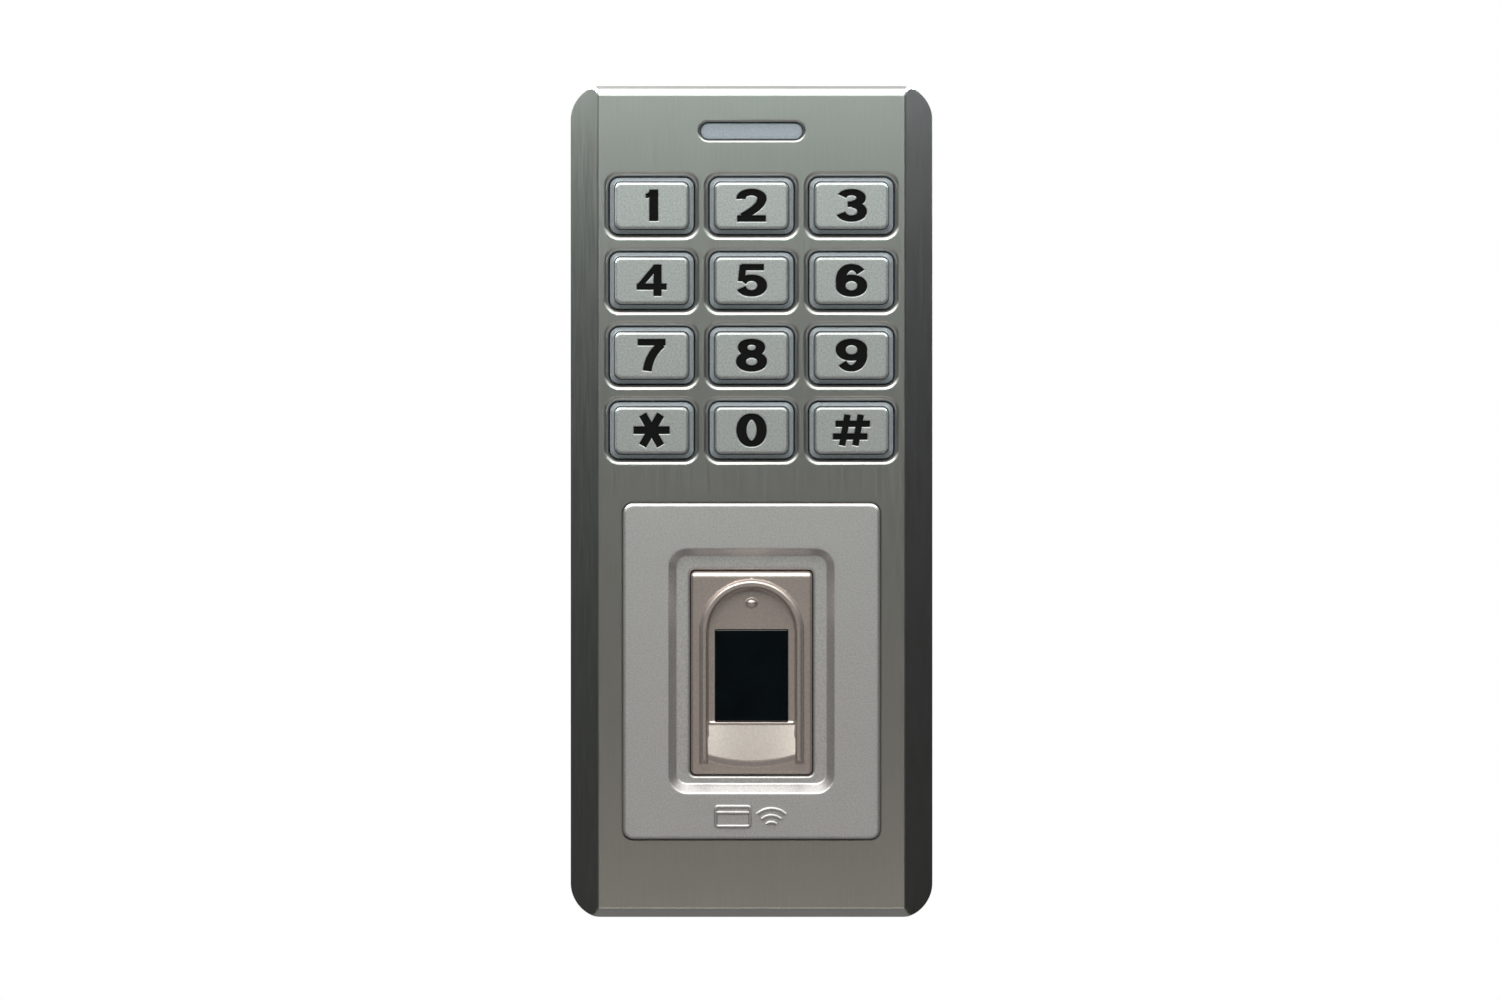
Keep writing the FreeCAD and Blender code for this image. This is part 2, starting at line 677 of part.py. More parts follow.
def make_front_case(doc, d, p):
    """Die-cast case: bevelled sides, key openings, light slot, panel seat and inner bosses."""
    body = new_body(doc, "front_case")
    half_width, half_height = d.case_width / 2, d.case_height / 2
    over = 1.0

    pad_between(
        body,
        lambda s: add_loop(s, box_points(-half_width, half_width, -half_height, half_height)),
        p.face,
        p.rim,
    )
    round_edges(
        body,
        d.face_round,
        lambda b: flat_at(p.face)(b) and b.ZLength < 1e-3,
    )
    cut_cavity(body, d, p, half_width)
    pad_corner_fills(body, d, p)

    bevels = new_sketch(body, "XY", -half_height - over, "bevels")
    for side in (-1, 1):
        points = [
            (side * (half_width - d.bevel_width), p.face),
            (side * half_width, p.face + d.bevel_depth),
            (side * (half_width + over), p.face + d.bevel_depth),
            (side * (half_width + over), p.face - over),
            (side * (half_width - d.bevel_width), p.face - over),
        ]
        add_loop(bevels, points)
    pocket(body, bevels, d.case_height + 2 * over, reverse=True)
    round_bevel_edges(body, d, p)

    def silhouette(sketch):
        add_loop(
            sketch,
            box_points(
                -half_width - over, half_width + over, -half_height - over, half_height + over
            ),
        )
        add_centred_round_box(sketch, d.case_width, d.case_height, Size(0), d.case_corner)

    pocket_between(body, silhouette, p.face - over, p.rim + over)
    cut_key_openings(body, d, p)
    cut_slot_and_seat(body, d, p)
    add_bosses(body, d, p)
    add_plate_fixings(body, d, p)


def round_bevel_edges(body, d, p):
    """Rounds the two long edges of each side bevel."""
    lines = [
        (d.case_width / 2 - d.bevel_width, p.face),
        (d.case_width / 2, p.face + d.bevel_depth),
    ]

    def on_a_line(box):
        return box.ZLength > d.case_height.value / 2 and any(
            abs(max(box.XMax, -box.XMin) - x.value) < 1e-3 and abs(box.YMin - y.value) < 1e-3
            for x, y in lines
        )

    round_edges(body, d.bevel_round, on_a_line)


def cut_cavity(body, d, p, half_width):
    """Hollows the case from the back, with a bevel that keeps the wall's thickness."""
    run = math.hypot(d.bevel_width.value, d.bevel_depth.value)
    across = d.case_wall * (d.bevel_depth / run)
    back = d.case_wall * (d.bevel_width / run)
    slope = d.bevel_width / d.bevel_depth
    start_x = half_width - d.bevel_width - across
    start_y = p.face + back
    front_x = start_x + (p.inner_face - start_y) * slope
    side_y = start_y + (p.inner_half_width - start_x) / slope
    outline = [
        (-p.inner_half_width, Size(1)),
        (-p.inner_half_width, side_y),
        (-front_x, p.inner_face),
        (front_x, p.inner_face),
        (p.inner_half_width, side_y),
        (p.inner_half_width, Size(1)),
    ]
    for name, top, bottom in (
        ("room", p.inner_half_height, p.bulkhead_top),
        ("lock_room", p.bulkhead_bottom, -p.inner_half_height),
    ):
        sketch = new_sketch(body, "XY", top, name)
        add_loop(sketch, outline)
        pocket(body, sketch, top - bottom)
    behind = box_points(
        -p.inner_half_width, p.inner_half_width, p.bulkhead_bottom - 0.5, p.bulkhead_top + 0.5
    )
    pocket_between(body, lambda s: add_loop(s, behind), p.cover_back, p.rim)


def pad_corner_fills(body, d, p):
    """Rounds the four inner corners, so that the wall keeps its thickness round them."""
    sketch = new_sketch(body, "XZ", p.rim, "corner_fills")
    r = p.inner_corner
    sunk = 0.2
    for side in (-1, 1):
        for end in (-1, 1):
            x, z = side * p.inner_half_width, end * p.inner_half_height
            points = [
                (x + side * sunk, z + end * sunk),
                (x + side * sunk, z - end * r),
                (x, z - end * r),
                (x - side * r, z),
                (x - side * r, z + end * sunk),
            ]
            add_loop(sketch, points, {2: (r, side * end)})
    pad(body, sketch, p.rim - p.inner_face)


def cut_key_openings(body, d, p):
    sketch = new_sketch(body, "XZ", p.face, "key_opening")
    add_centred_round_box(
        sketch,
        d.key_hole_width,
        d.key_hole_height,
        p.key_rows[0],
        d.key_hole_corner,
        across=p.key_columns[0],
    )
    first = pocket(body, sketch, d.case_wall)
    steps = [("X", d.key_pitch_across, 3), ("Z", -d.key_pitch_down, 4)]
    repeat(body, first, steps)
    test = flat_at(
        p.face,
        p.key_columns[2] + d.key_hole_width / 2,
        p.key_rows[3] - d.key_hole_height / 2,
        p.key_rows[0] + d.key_hole_height / 2,
    )
    round_edges(body, d.key_hole_round, test)


def cut_slot_and_seat(body, d, p):
    """The status light's slot, the card panel's seat and the window behind it."""
    end_round = d.slot_height / 2 - 0.01
    pocket_between(
        body,
        lambda s: add_centred_round_box(s, d.slot_width, d.slot_height, p.slot_up, end_round),
        p.face,
        p.inner_face,
    )
    low, high = p.slot_up - d.slot_height / 2, p.slot_up + d.slot_height / 2
    round_edges(body, d.slot_round, flat_at(p.face, d.slot_width / 2, low, high))
    seat_width = d.panel_width + 2 * d.panel_gap
    seat_height = d.panel_height + 2 * d.panel_gap
    seat_corner = d.panel_corner + d.panel_gap
    middle = p.panel_middle
    pocket_between(
        body,
        lambda s: add_centred_round_box(s, seat_width, seat_height, middle, seat_corner),
        p.face,
        p.seat,
    )
    pocket_between(
        body,
        lambda s: add_centred_round_box(
            s, p.window_width, p.window_height, middle, d.panel_corner
        ),
        p.seat,
        p.inner_face,
    )


def draw_grid(across, low, high, diameter):
    """Draws four circles, one at each corner of a rectangle."""

    def draw(sketch):
        for side in (-1, 1):
            for z in (low, high):
                add_circle(sketch, side * (across / 2), z, diameter)

    return draw


def add_bosses(body, d, p):
    """Posts for the main board and bosses for the rear cover, with screw holes."""
    root = p.inner_face - 0.3
    screw_hole = d.board_screw + 2 * d.thread_gap
    hole_end = p.inner_face + 0.2
    for posts, width, back in (
        (p.board_posts, d.board_post_width, p.board_front),
        (p.cover_bosses, d.boss_width, p.cover_front),
    ):
        pad_between(body, draw_grid(*posts, width), root, back)
        sketch = new_sketch(body, "XZ", back, "screw_holes")
        draw_grid(*posts, screw_hole)(sketch)
        pocket(body, sketch, back - hole_end, reverse=True)


def add_plate_fixings(body, d, p):
    """Ribs that hang on the plate's hooks, and the boss that the locking screw goes through."""

    def ribs(sketch):
        for side in (-1, 1):
            x = side * (d.hook_across / 2)
            reach = d.hook_width / 2 + d.rib_side
            low = p.hook_foot_top + d.rib_gap
            add_loop(sketch, box_points(x - reach, x + reach, low, p.inner_half_height + 0.5))

    pad_between(body, ribs, p.rib_front, p.rib_back)

    half = d.lock_boss_width / 2
    block = box_points(-half, half, p.underside + 0.5, p.lock_boss_top)
    axis_y = -d.lock_back
    pad_between(
        body, lambda s: add_loop(s, block), axis_y - d.lock_reach, axis_y + d.lock_reach
    )
    for diameter, top in (
        (d.lock_screw + 2 * d.lock_screw_gap, p.lock_boss_top),
        (d.lock_head + 2 * d.lock_head_gap, p.lock_seat),
    ):
        sketch = new_sketch(body, "XY", p.underside, "lock_hole")
        add_circle(sketch, 0, axis_y, diameter)
        pocket(body, sketch, top - p.underside, reverse=True)


# ---------------------------------------------------------------- keys


def make_key(doc, d, p, name, x, z):
    """One key: a metal cap, and the translucent skirt that carries it, with its pill."""
    make_cap(doc, d, p, "key_cap_" + name, x, z)
    make_skirt(doc, d, p, "key_skirt_" + name, x, z)


def make_cap(doc, d, p, label, x, z):
    cap = new_body(doc, label)
    pad_between(
        cap,
        lambda s: add_centred_round_box(s, p.cap_width, p.cap_height, z, d.cap_corner, x),
        p.cap_front,
        p.cap_back,
    )
    round_edges(cap, d.cap_bevel, flat_at(p.cap_front), "Chamfer")


def make_skirt(doc, d, p, label, x, z):
    skirt = new_body(doc, label, several=True)
    pad_between(
        skirt,
        lambda s: add_centred_round_box(s, p.skirt_width, p.skirt_height, z, p.skirt_corner, x),
        p.skirt_front,
        p.lip_back,
    )
    round_edges(skirt, d.skirt_fall, flat_at(p.skirt_front), "Chamfer")
    pad_between(
        skirt,
        lambda s: add_centred_round_box(s, p.skirt_width, p.lip_height, z, p.skirt_corner, x),
        p.lip_front,
        p.lip_back,
    )
    pocket_between(
        skirt,
        lambda s: add_centred_round_box(s, p.cap_width, p.cap_height, z, d.cap_corner, x),
        p.skirt_front,
        p.cap_back,
    )
    stem = d.pill_width + 2 * d.pill_stem_rim
    pad_between(skirt, lambda s: add_circle(s, x, z, stem), p.lip_back - 0.1, p.pill_front)
    pill = rod_part(doc, label + "_pill_shape", x, z, d.pill_width, p.pill_front, p.pill_back)
    doc.recompute()
    skirt.Label = label + "_shape"
    group_part(doc, label, [skirt, pill])


def make_keypad_mat(doc, d, p):
    """Silicone mat between case and board, with a pocket for each key."""
    mat = new_body(doc, "keypad_mat")
    half_width = p.key_columns[2] + p.pocket_width / 2 + d.mat_side_margin
    low = p.key_rows[3] - p.pocket_height / 2 - d.mat_margin
    high = p.key_rows[0] + p.pocket_height / 2 + d.mat_margin
    pad_between(
        mat,
        lambda s: add_round_box(s, -half_width, half_width, low, high, d.mat_corner),
        p.inner_face,
        p.board_front,
    )
    sketch = new_sketch(mat, "XZ", p.inner_face, "pocket")
    add_centred_round_box(
        sketch, p.pocket_width, p.pocket_height, p.key_rows[0], d.key_hole_corner,
        across=p.key_columns[0],
    )
    first = pocket(mat, sketch, d.mat_thick)
    repeat(mat, first, [("X", d.key_pitch_across, 3), ("Z", -d.key_pitch_down, 4)])


# ---------------------------------------------------------------- status light


def make_status_lens(doc, d, p):
    """Light pipe in the case's slot, with a flange behind it."""
    lens = new_body(doc, "status_lens")
    width = d.slot_width - 2 * d.lens_gap
    height = d.slot_height - 2 * d.lens_gap
    front = p.face + d.lens_sunk
    flange_back = p.inner_face + d.lens_rim_thick
    pad_between(
        lens,
        lambda s: add_centred_round_box(s, width, height, p.slot_up, height / 2 - 0.01),
        front,
        flange_back,
    )
    pad_between(
        lens,
        lambda s: add_centred_round_box(
            s,
            d.slot_width + 2 * d.lens_rim,
            d.slot_height + 2 * d.lens_rim,
            p.slot_up,
            d.lens_rim_corner,
        ),
        p.inner_face,
        flange_back,
    )
    lights = new_body(doc, "status_leds", several=True)
    spacing = d.status_led_pitch
    first = pad_between(
        lights,
        lambda s: add_centred_round_box(
            s, d.status_led_width, d.status_led_height, p.slot_up, Size(0.2), across=-spacing
        ),
        p.board_front - d.status_led_thick,
        p.board_front,
    )
    repeat(lights, first, [("X", spacing, 3)])


# ---------------------------------------------------------------- card panel and reader


def make_card_panel(doc, d, p):
    """Painted panel over the antenna, with a dished recess for the finger guide."""
    body = new_body(doc, "card_panel")
    middle = p.panel_middle
    pad_between(
        body,
        lambda s: add_centred_round_box(s, d.panel_width, d.panel_height, middle, d.panel_corner),
        p.panel_front,
        p.panel_rim_back,
    )
    round_edges(body, d.panel_edge, flat_at(p.panel_front))
    tub_corner = d.dish_corner + d.dish_wall
    pad_between(
        body,
        lambda s: add_centred_round_box(
            s,
            p.tub_width,
            p.tub_height,
            middle,
            tub_corner,
        ),
        p.panel_front + 1.0,
        p.dish_back,
    )
    pad_between(
        body,
        draw_grid(*p.panel_posts, d.post_width),
        p.panel_front + 1.0,
        p.inner_face,
    )
    floor_corner = d.dish_corner - d.dish_slope
    pocket_between(
        body,
        lambda s: add_centred_round_box(
            s,
            d.dish_width - 2 * d.dish_slope,
            d.dish_height - 2 * d.dish_slope,
            middle,
            floor_corner,
        ),
        p.panel_front,
        p.dish_floor,
    )
    slope_dish_side(body, d, p)
    pocket_between(
        body,
        lambda s: add_centred_round_box(
            s,
            d.guide_width + 2 * d.guide_gap,
            d.guide_height + 2 * d.guide_gap,
            middle,
            d.guide_corner + d.guide_gap,
        ),
        p.dish_floor,
        p.dish_back,
    )
    screw_hole = d.small_screw + 2 * d.thread_gap
    for places, back, depth in (
        (p.panel_posts, p.inner_face, d.post_hole_depth),
        (p.module_screws, p.dish_back, d.guide_hole_depth),
    ):
        sketch = new_sketch(body, "XZ", back, "screw_holes")
        draw_grid(*places, screw_hole)(sketch)
        pocket(body, sketch, depth, reverse=True)


def slope_dish_side(body, d, p):
    """Slopes the recess's side from the panel's face down to its floor."""
    base = body.Tip
    limit_x = d.dish_width / 2 - d.dish_slope
    low = p.panel_middle - d.dish_height / 2 + d.dish_slope
    high = p.panel_middle + d.dish_height / 2 - d.dish_slope
    names = edges_where(base.Shape, flat_at(p.panel_front, limit_x, low, high))
    slope = body.newObject("PartDesign::Chamfer", "slope")
    slope.Base = (base, names)
    slope.ChamferType = "Two distances"
    bind(slope, "Size", d.dish_slope)
    bind(slope, "Size2", d.dish_depth - 0.3)
    body.Document.recompute()
    body.Tip = slope


def ring_part(doc, label, outer, inner, corner, band, up, front, back):
    """A flat rounded-rectangular ring: outer and inner are (width, height)."""
    body = new_body(doc, label)

    def draw(sketch):
        add_centred_round_box(sketch, *outer, up, corner)
        add_centred_round_box(sketch, *inner, up, corner - band)

    pad_between(body, draw, front, back)
    return body


def make_panel_fixings(doc, d, p):
    """Adhesive gasket, clamp frame and antenna coil behind the card panel."""
    middle = p.panel_middle
    ring_part(
        doc,
        "panel_gasket",
        (d.panel_width, d.panel_height),
        (p.window_width, p.window_height),
        d.panel_corner,
        Size(0.0),
        middle,
        p.panel_rim_back,
        p.seat,
    )
    frame = ring_part(
        doc,
        "clamp_frame",
        (p.window_width + 2 * d.clamp_bearing, p.window_height + 2 * d.clamp_bearing),
        (p.tub_width + 2 * d.clamp_gap, p.tub_height + 2 * d.clamp_gap),
        d.clamp_corner,
        d.clamp_corner_band,
        middle,
        p.inner_face,
        p.clamp_back,
    )
    sketch = new_sketch(frame, "XZ", p.inner_face, "screw_holes")
    hole = d.small_screw + 2 * d.hole_gap
    draw_grid(*p.panel_posts, hole)(sketch)
    pocket(frame, sketch, d.clamp_thick)
    coil_width = p.window_width + 2 * d.coil_bearing
    coil_height = p.window_height + 2 * d.coil_bearing
    ring_part(
        doc,
        "antenna_coil",
        (coil_width, coil_height),
        (coil_width - 2 * d.coil_band, coil_height - 2 * d.coil_band),
        d.coil_corner,
        d.coil_band,
        middle,
        p.clamp_back,
        p.clamp_back + d.coil_thick,
    )


def make_finger_guide(doc, d, p):
    """Guide that holds a finger on the window: a horseshoe ridge, a trough and a ramp."""
    body = new_body(doc, "finger_guide")
    middle = p.panel_middle
    glass_up = middle - d.glass_drop

    def frame(sketch):
        add_centred_round_box(sketch, d.guide_width, d.guide_height, middle, d.guide_corner)

    pad_between(body, frame, p.guide_front, p.guide_back)
    round_edges(body, d.guide_edge, flat_at(p.guide_front))
    pad_between(
        body,
        lambda s: add_centred_round_box(
            s, p.flange_width, p.flange_height, middle, d.module_flange_corner
        ),
        p.dish_back,
        p.guide_back,
    )
    pad_between(
        body,
        lambda s: add_arch(s, d.ridge_width, p.ridge_crown, p.ridge_foot),
        p.ridge_front,
        p.guide_front + 0.5,
    )
    trough_top = p.ridge_crown - (d.ridge_width - d.trough_width) / 2
    pocket_between(
        body,
        lambda s: add_arch(s, d.trough_width, trough_top, middle - d.ramp_start),
        p.ridge_front,
        p.trough_floor,
    )
    ramp = new_sketch(body, "YZ", 0, "ramp")
    crest = p.trough_floor - d.ramp_rise
    points = [
        (p.ridge_front - 1, middle - d.ramp_start + 0.5),
        (p.ridge_front - 1, p.ridge_foot - 0.5),
        (crest, p.ridge_foot - 0.5),
        (crest, middle - d.guide_height / 2 + d.crest_margin),
        (p.trough_floor, middle - d.ramp_start),
        (p.trough_floor, middle - d.ramp_start + 0.5),
    ]
    add_loop(ramp, points)
    pocket(body, ramp, d.trough_width, symmetric=True)
    pocket_between(
        body,
        lambda s: add_centred_round_box(
            s,
            d.glass_width + 2 * d.glass_gap,
            d.glass_height + 2 * d.glass_gap,
            glass_up,
            Size(0.3),
        ),
        p.trough_floor,
        p.guide_back,
    )
    pad_between(
        body,
        lambda s: add_circle(s, 0, p.ridge_crown - d.nub_drop, d.nub_width),
        p.trough_floor - 0.5,
        p.trough_floor + 0.5,
    )
    hole = d.small_screw + 2 * d.hole_gap
    sketch = new_sketch(body, "XZ", p.dish_back, "screw_holes")
    draw_grid(*p.module_screws, hole)(sketch)
    pocket(body, sketch, d.guide_flange_thick)

    glass = new_body(doc, "sensor_window")
    pad_between(
        glass,
        lambda s: add_centred_round_box(s, d.glass_width, d.glass_height, glass_up, Size(0.2)),
        p.trough_floor,
        p.guide_back,
    )


def add_arch(sketch, width, top, bottom):
    """An outline with a round crown and a straight foot."""
    r = width / 2
    points = [(-r, bottom), (r, bottom), (r, top - r), (Size(0), top), (-r, top - r)]
    add_loop(sketch, points, {2: (r, 1), 3: (r, 1)})


def make_sensor_module(doc, d, p):
    """Fingerprint module behind the window: housing, board, plug and ribbon."""
    body = new_body(doc, "sensor_housing")
    middle = p.panel_middle
    pad_between(
        body,
        lambda s: add_centred_round_box(
            s, p.flange_width, p.flange_height, middle, d.module_flange_corner
        ),
        p.guide_back,
        p.module_flange_back,
    )
    pad_between(
        body,
        lambda s: add_centred_round_box(
            s, d.module_width, d.module_height, middle, d.module_corner
        ),
        p.guide_back,
        p.module_back,
    )
    sketch = new_sketch(body, "XZ", p.guide_back, "screw_holes")
    draw_grid(*p.module_screws, d.small_screw + 2 * d.hole_gap)(sketch)
    pocket(body, sketch, d.module_flange_thick)

    half = d.module_width / 2 - d.sensor_board_inset
    low = middle - d.module_height / 2 + d.sensor_board_inset
    housing_top = middle + d.module_height / 2
    high = housing_top + d.sensor_board_tab
    box_part(
        doc, "sensor_board", -half, half, p.module_back, p.sensor_board_back, low, high
    )
    plug_half = d.plug_width / 2
    sensor_plug_top = high - d.plug_inset
    board_plug_low = p.board_bottom + d.board_plug_up
    plugs = [
        box_part(
            doc, "sensor_plug_shape", -plug_half, plug_half,
            p.module_back - d.plug_depth, p.module_back,
            sensor_plug_top - d.plug_height, sensor_plug_top,
        ),
        box_part(
            doc, "board_plug_shape", -plug_half, plug_half,
            p.board_back, p.board_back + d.plug_depth,
            board_plug_low, board_plug_low + d.plug_height,
        ),
    ]
    group_part(doc, "ribbon_connectors", plugs)
    make_ribbon(
        doc,
        d,
        (p.module_back - d.plug_depth / 2, sensor_plug_top),
        (p.board_back + d.plug_depth / 2, board_plug_low),
    )


def make_ribbon(doc, d, start, end):
    """Flat ribbon from plug to plug: two equal arcs that leave both plugs straight."""
    (y0, z0), (y1, z1) = start, end
    half_thick = d.ribbon_thick / 2
    away, rise = y0 - y1, z1 - z0
    radius = (away * away + rise * rise) / (4 * away)
    body = new_body(doc, "sensor_ribbon")
    sketch = new_sketch(body, "YZ", 0, "ribbon")
    middle_y, middle_z = (y0 + y1) / 2, (z0 + z1) / 2
    lean = math.asin(rise.value / 2 / radius.value)
    step_y, step_z = half_thick * math.cos(lean), half_thick * math.sin(lean)
    points = [
        (y0 + half_thick, z0),
        (middle_y + step_y, middle_z + step_z),
        (y1 + half_thick, z1),
        (y1 - half_thick, z1),
        (middle_y - step_y, middle_z - step_z),
        (y0 - half_thick, z0),
    ]
    outer, inner = radius + half_thick, radius - half_thick
    arcs = {0: (outer, 1), 1: (inner, -1), 3: (outer, 1), 4: (inner, -1)}
    add_loop(sketch, points, arcs)
    pad(body, sketch, d.ribbon_width, symmetric=True)


# ---------------------------------------------------------------- main board


def make_main_board(doc, d, p):
    """Main board with notched upper corners."""
    body = new_body(doc, "main_board")
    half = d.board_width / 2
    notch_x, notch_z = half - d.board_notch_width, p.board_top - d.board_notch_height
    outline = [
        (-half, p.board_bottom), (half, p.board_bottom), (half, notch_z), (notch_x, notch_z),
        (notch_x, p.board_top), (-notch_x, p.board_top), (-notch_x, notch_z), (-half, notch_z),
    ]
    pad_between(body, lambda s: add_loop(s, outline), p.board_front, p.board_back)
    sketch = new_sketch(body, "XZ", p.board_front, "screw_holes")
    draw_grid(*p.board_posts, d.board_screw + 2 * d.hole_gap)(sketch)
    pocket(body, sketch, d.board_thick)


def make_board_parts(doc, d, p):
    """Components on both faces of the main board."""
    back = p.board_back
    led = new_body(doc, "backlight_leds", several=True)
    led_half, led_reach = d.key_led_width / 2, d.key_led_length / 2

    def pair(sketch):
        for side in (-1, 1):
            x = p.key_columns[0] + side * (d.key_led_pitch / 2)
            z = p.key_rows[0]
            add_loop(
                sketch, box_points(x - led_half, x + led_half, z - led_reach, z + led_reach)
            )

    first = pad_between(led, pair, p.board_front - d.led_height, p.board_front)
    repeat(led, first, [("X", d.key_pitch_across, 3), ("Z", -d.key_pitch_down, 4)])

    def block(label, x, up, width, height, thick):
        x, z = Size(x), p.board_bottom + up
        across, tall = width / 2, height / 2
        return box_part(
            doc, label, x - across, x + across, back, back + thick, z - tall, z + tall
        )

    def tube(label, x, up, diameter, thick):
        return rod_part(doc, label, Size(x), p.board_bottom + up, diameter, back, back + thick)

    for part in BOARD_BLOCKS:
        block(*part)
    group_part(doc, "driver_chips", [block(*chip) for chip in DRIVER_CHIPS])
    group_part(doc, "capacitors", [tube(*can) for can in CAPACITORS])
    buzzer_case = tube(*BUZZER)
    _, x, up, _, tall = BUZZER
    mouth = rod_part(
        doc, "buzzer_mouth", x, p.board_bottom + up, d.buzzer_mouth, back + 1.5,
        back + tall + 1.0,
    )
    cut_part(doc, "buzzer", buzzer_case, mouth)
    rod_part(
        doc, "tamper_sensor", d.pipe_across, p.pipe_up, d.tamper_sensor_width, back,
        back + d.tamper_sensor_thick,
    )


# ---------------------------------------------------------------- rear cover and plate


def make_rear_cover(doc, d, p):
    """Cover that closes the case from behind, with a grooved rim for the seal."""
    body = new_body(doc, "rear_cover")
    half, low, high = p.cover_half_width, p.cover_bottom, p.cover_top
    corner = p.inner_corner - d.cover_gap
    wall = d.cover_lip_thick
    pad_between(
        body,
        lambda s: add_round_box(s, -half, half, low, high, corner),
        p.cover_lip_front,
        p.cover_back,
    )
    pocket_between(
        body,
        lambda s: add_round_box(
            s, -half + wall, half - wall, low + wall, high - wall, corner - wall
        ),
        p.cover_lip_front,
        p.cover_front,
    )
    seal_front = p.cover_lip_front + d.seal_inset
    seal_back = seal_front + d.seal_width
    sunk = d.seal_sunk

    def groove(sketch):
        add_round_box(sketch, -half - 1, half + 1, low - 1, high + 1, corner + 1)
        add_round_box(
            sketch, -half + sunk, half - sunk, low + sunk, high - sunk, corner - sunk
        )

    pocket_between(body, groove, seal_front, seal_back)
    for draw in (
        draw_grid(*p.cover_bosses, d.board_screw + 2 * d.hole_gap),
        lambda s: add_circle(s, 0, d.cable_up, d.grommet_width),
        lambda s: add_circle(s, d.pipe_across, p.pipe_up, d.pipe_width),
    ):
        pocket_between(body, draw, p.cover_front, p.cover_back)

    seal = new_body(doc, "cover_seal")

    def ring(sketch):
        gap = d.cover_gap
        add_round_box(sketch, -half - gap, half + gap, low - gap, high + gap, p.inner_corner)
        add_round_box(
            sketch, -half + sunk, half - sunk, low + sunk, high - sunk, corner - sunk
        )

    pad_between(seal, ring, seal_front, seal_back)
    make_grommet(doc, d, p)
    make_light_pipe(doc, d, p)


def make_grommet(doc, d, p):
    """Rubber bush that seals the cable where it leaves the cover."""
    body = new_body(doc, "cable_grommet")
    bore, neck = d.cable_up + d.cable_bore / 2, d.cable_up + d.grommet_width / 2
    lip = neck + d.grommet_lip
    front, back = p.cover_front - d.grommet_front, p.cover_back + d.grommet_back
    sketch = new_sketch(body, "YZ", 0, "half_section")
    points = [
        (front, bore), (back, bore), (back, lip), (p.cover_back, lip),
        (p.cover_back, neck), (p.cover_front, neck), (p.cover_front, lip), (front, lip),
    ]
    add_loop(sketch, points)
    line = Part.LineSegment(
        Vector(front.value, d.cable_up.value, 0), Vector(back.value, d.cable_up.value, 0)
    )
    axis = sketch.addGeometry(line, True)
    place_point(sketch, axis, 1, front, d.cable_up)
    place_point(sketch, axis, 2, back, d.cable_up)
    turned = body.newObject("PartDesign::Revolution", "turned")
    turned.Profile = sketch
    turned.ReferenceAxis = (sketch, ["Axis0"])
    turned.Angle = 360


def make_light_pipe(doc, d, p):
    """Clear pipe that lets light reach the tamper sensor once the case leaves the wall."""
    front = p.board_back + d.pipe_gap
    neck = rod_part(
        doc, "pipe_neck", d.pipe_across, p.pipe_up, d.pipe_width, front, p.cover_back
    )
    collar = rod_part(
        doc, "pipe_collar", d.pipe_across, p.pipe_up, d.pipe_width + 2 * d.pipe_collar,
        p.cover_front - d.pipe_collar, p.cover_front,
    )
    group_part(doc, "tamper_light_pipe", [neck, collar], "Part::MultiFuse")


def make_mounting_plate(doc, d, p):
    """Steel plate that is screwed to the wall: two hooks above, a locking flange below."""
    body = new_body(doc, "mounting_plate")
    half_width = p.inner_half_width - d.plate_gap
    half_height = p.inner_half_height - d.plate_gap
    corner = p.inner_corner - d.plate_gap
    flange_low = p.lock_boss_top + d.lock_gap
    flange_high = flange_low + d.plate_thick
    lock_half = d.lock_width / 2
    pad_between(
        body,
        lambda s: add_round_box(s, -half_width, half_width, -half_height, half_height, corner),
        p.plate_front,
        Size(0),
    )

    def windows(sketch):
        for side in (-1, 1):
            x, reach = side * (d.hook_across / 2), d.hook_width / 2 + d.hook_slot_side
            points = box_points(x - reach, x + reach, p.hook_foot_top, half_height + 1)
            add_loop(sketch, points)
        add_loop(
            sketch, box_points(-lock_half - 1, lock_half + 1, -half_height - 1, flange_low)
        )

    pocket_between(body, windows, p.plate_front, Size(0))

    def hooks(high):
        def draw(sketch):
            for side in (-1, 1):
                x, reach = side * (d.hook_across / 2), d.hook_width / 2
                add_loop(sketch, box_points(x - reach, x + reach, p.hook_foot, high))

        return draw

    pad_between(body, hooks(p.hook_foot_top), p.hook_front, Size(0))
    tip = p.inner_half_height - d.hook_tip_gap
    pad_between(body, hooks(tip), p.hook_front, p.hook_back)

    flange = box_points(-lock_half, lock_half, flange_low, flange_high)
    flange_front = -d.lock_back - d.lock_reach
    pad_between(body, lambda s: add_loop(s, flange), flange_front, Size(0))
    round_edges(
        body,
        d.lock_corner,
        lambda b: abs(b.YMax - flange_front.value) < 1e-3 and b.XLength + b.YLength < 1e-3,
    )
    lock_hole = new_sketch(body, "XY", flange_high, "lock_hole")
    add_circle(lock_hole, 0, -d.lock_back, d.lock_screw + 2 * d.thread_gap)
    pocket(body, lock_hole, d.plate_thick)

    def holes(sketch):
        up = d.wall_holes_up / 2
        draw_grid(d.wall_holes_across, -up, up, d.wall_hole)(sketch)
        for end in (-1, 1):
            add_circle(sketch, 0, end * (d.box_holes_up / 2), d.wall_hole)
        add_circle(sketch, 0, d.cable_up, d.plate_cable_hole)

    pocket_between(body, holes, p.plate_front, Size(0))


# ---------------------------------------------------------------- fasteners


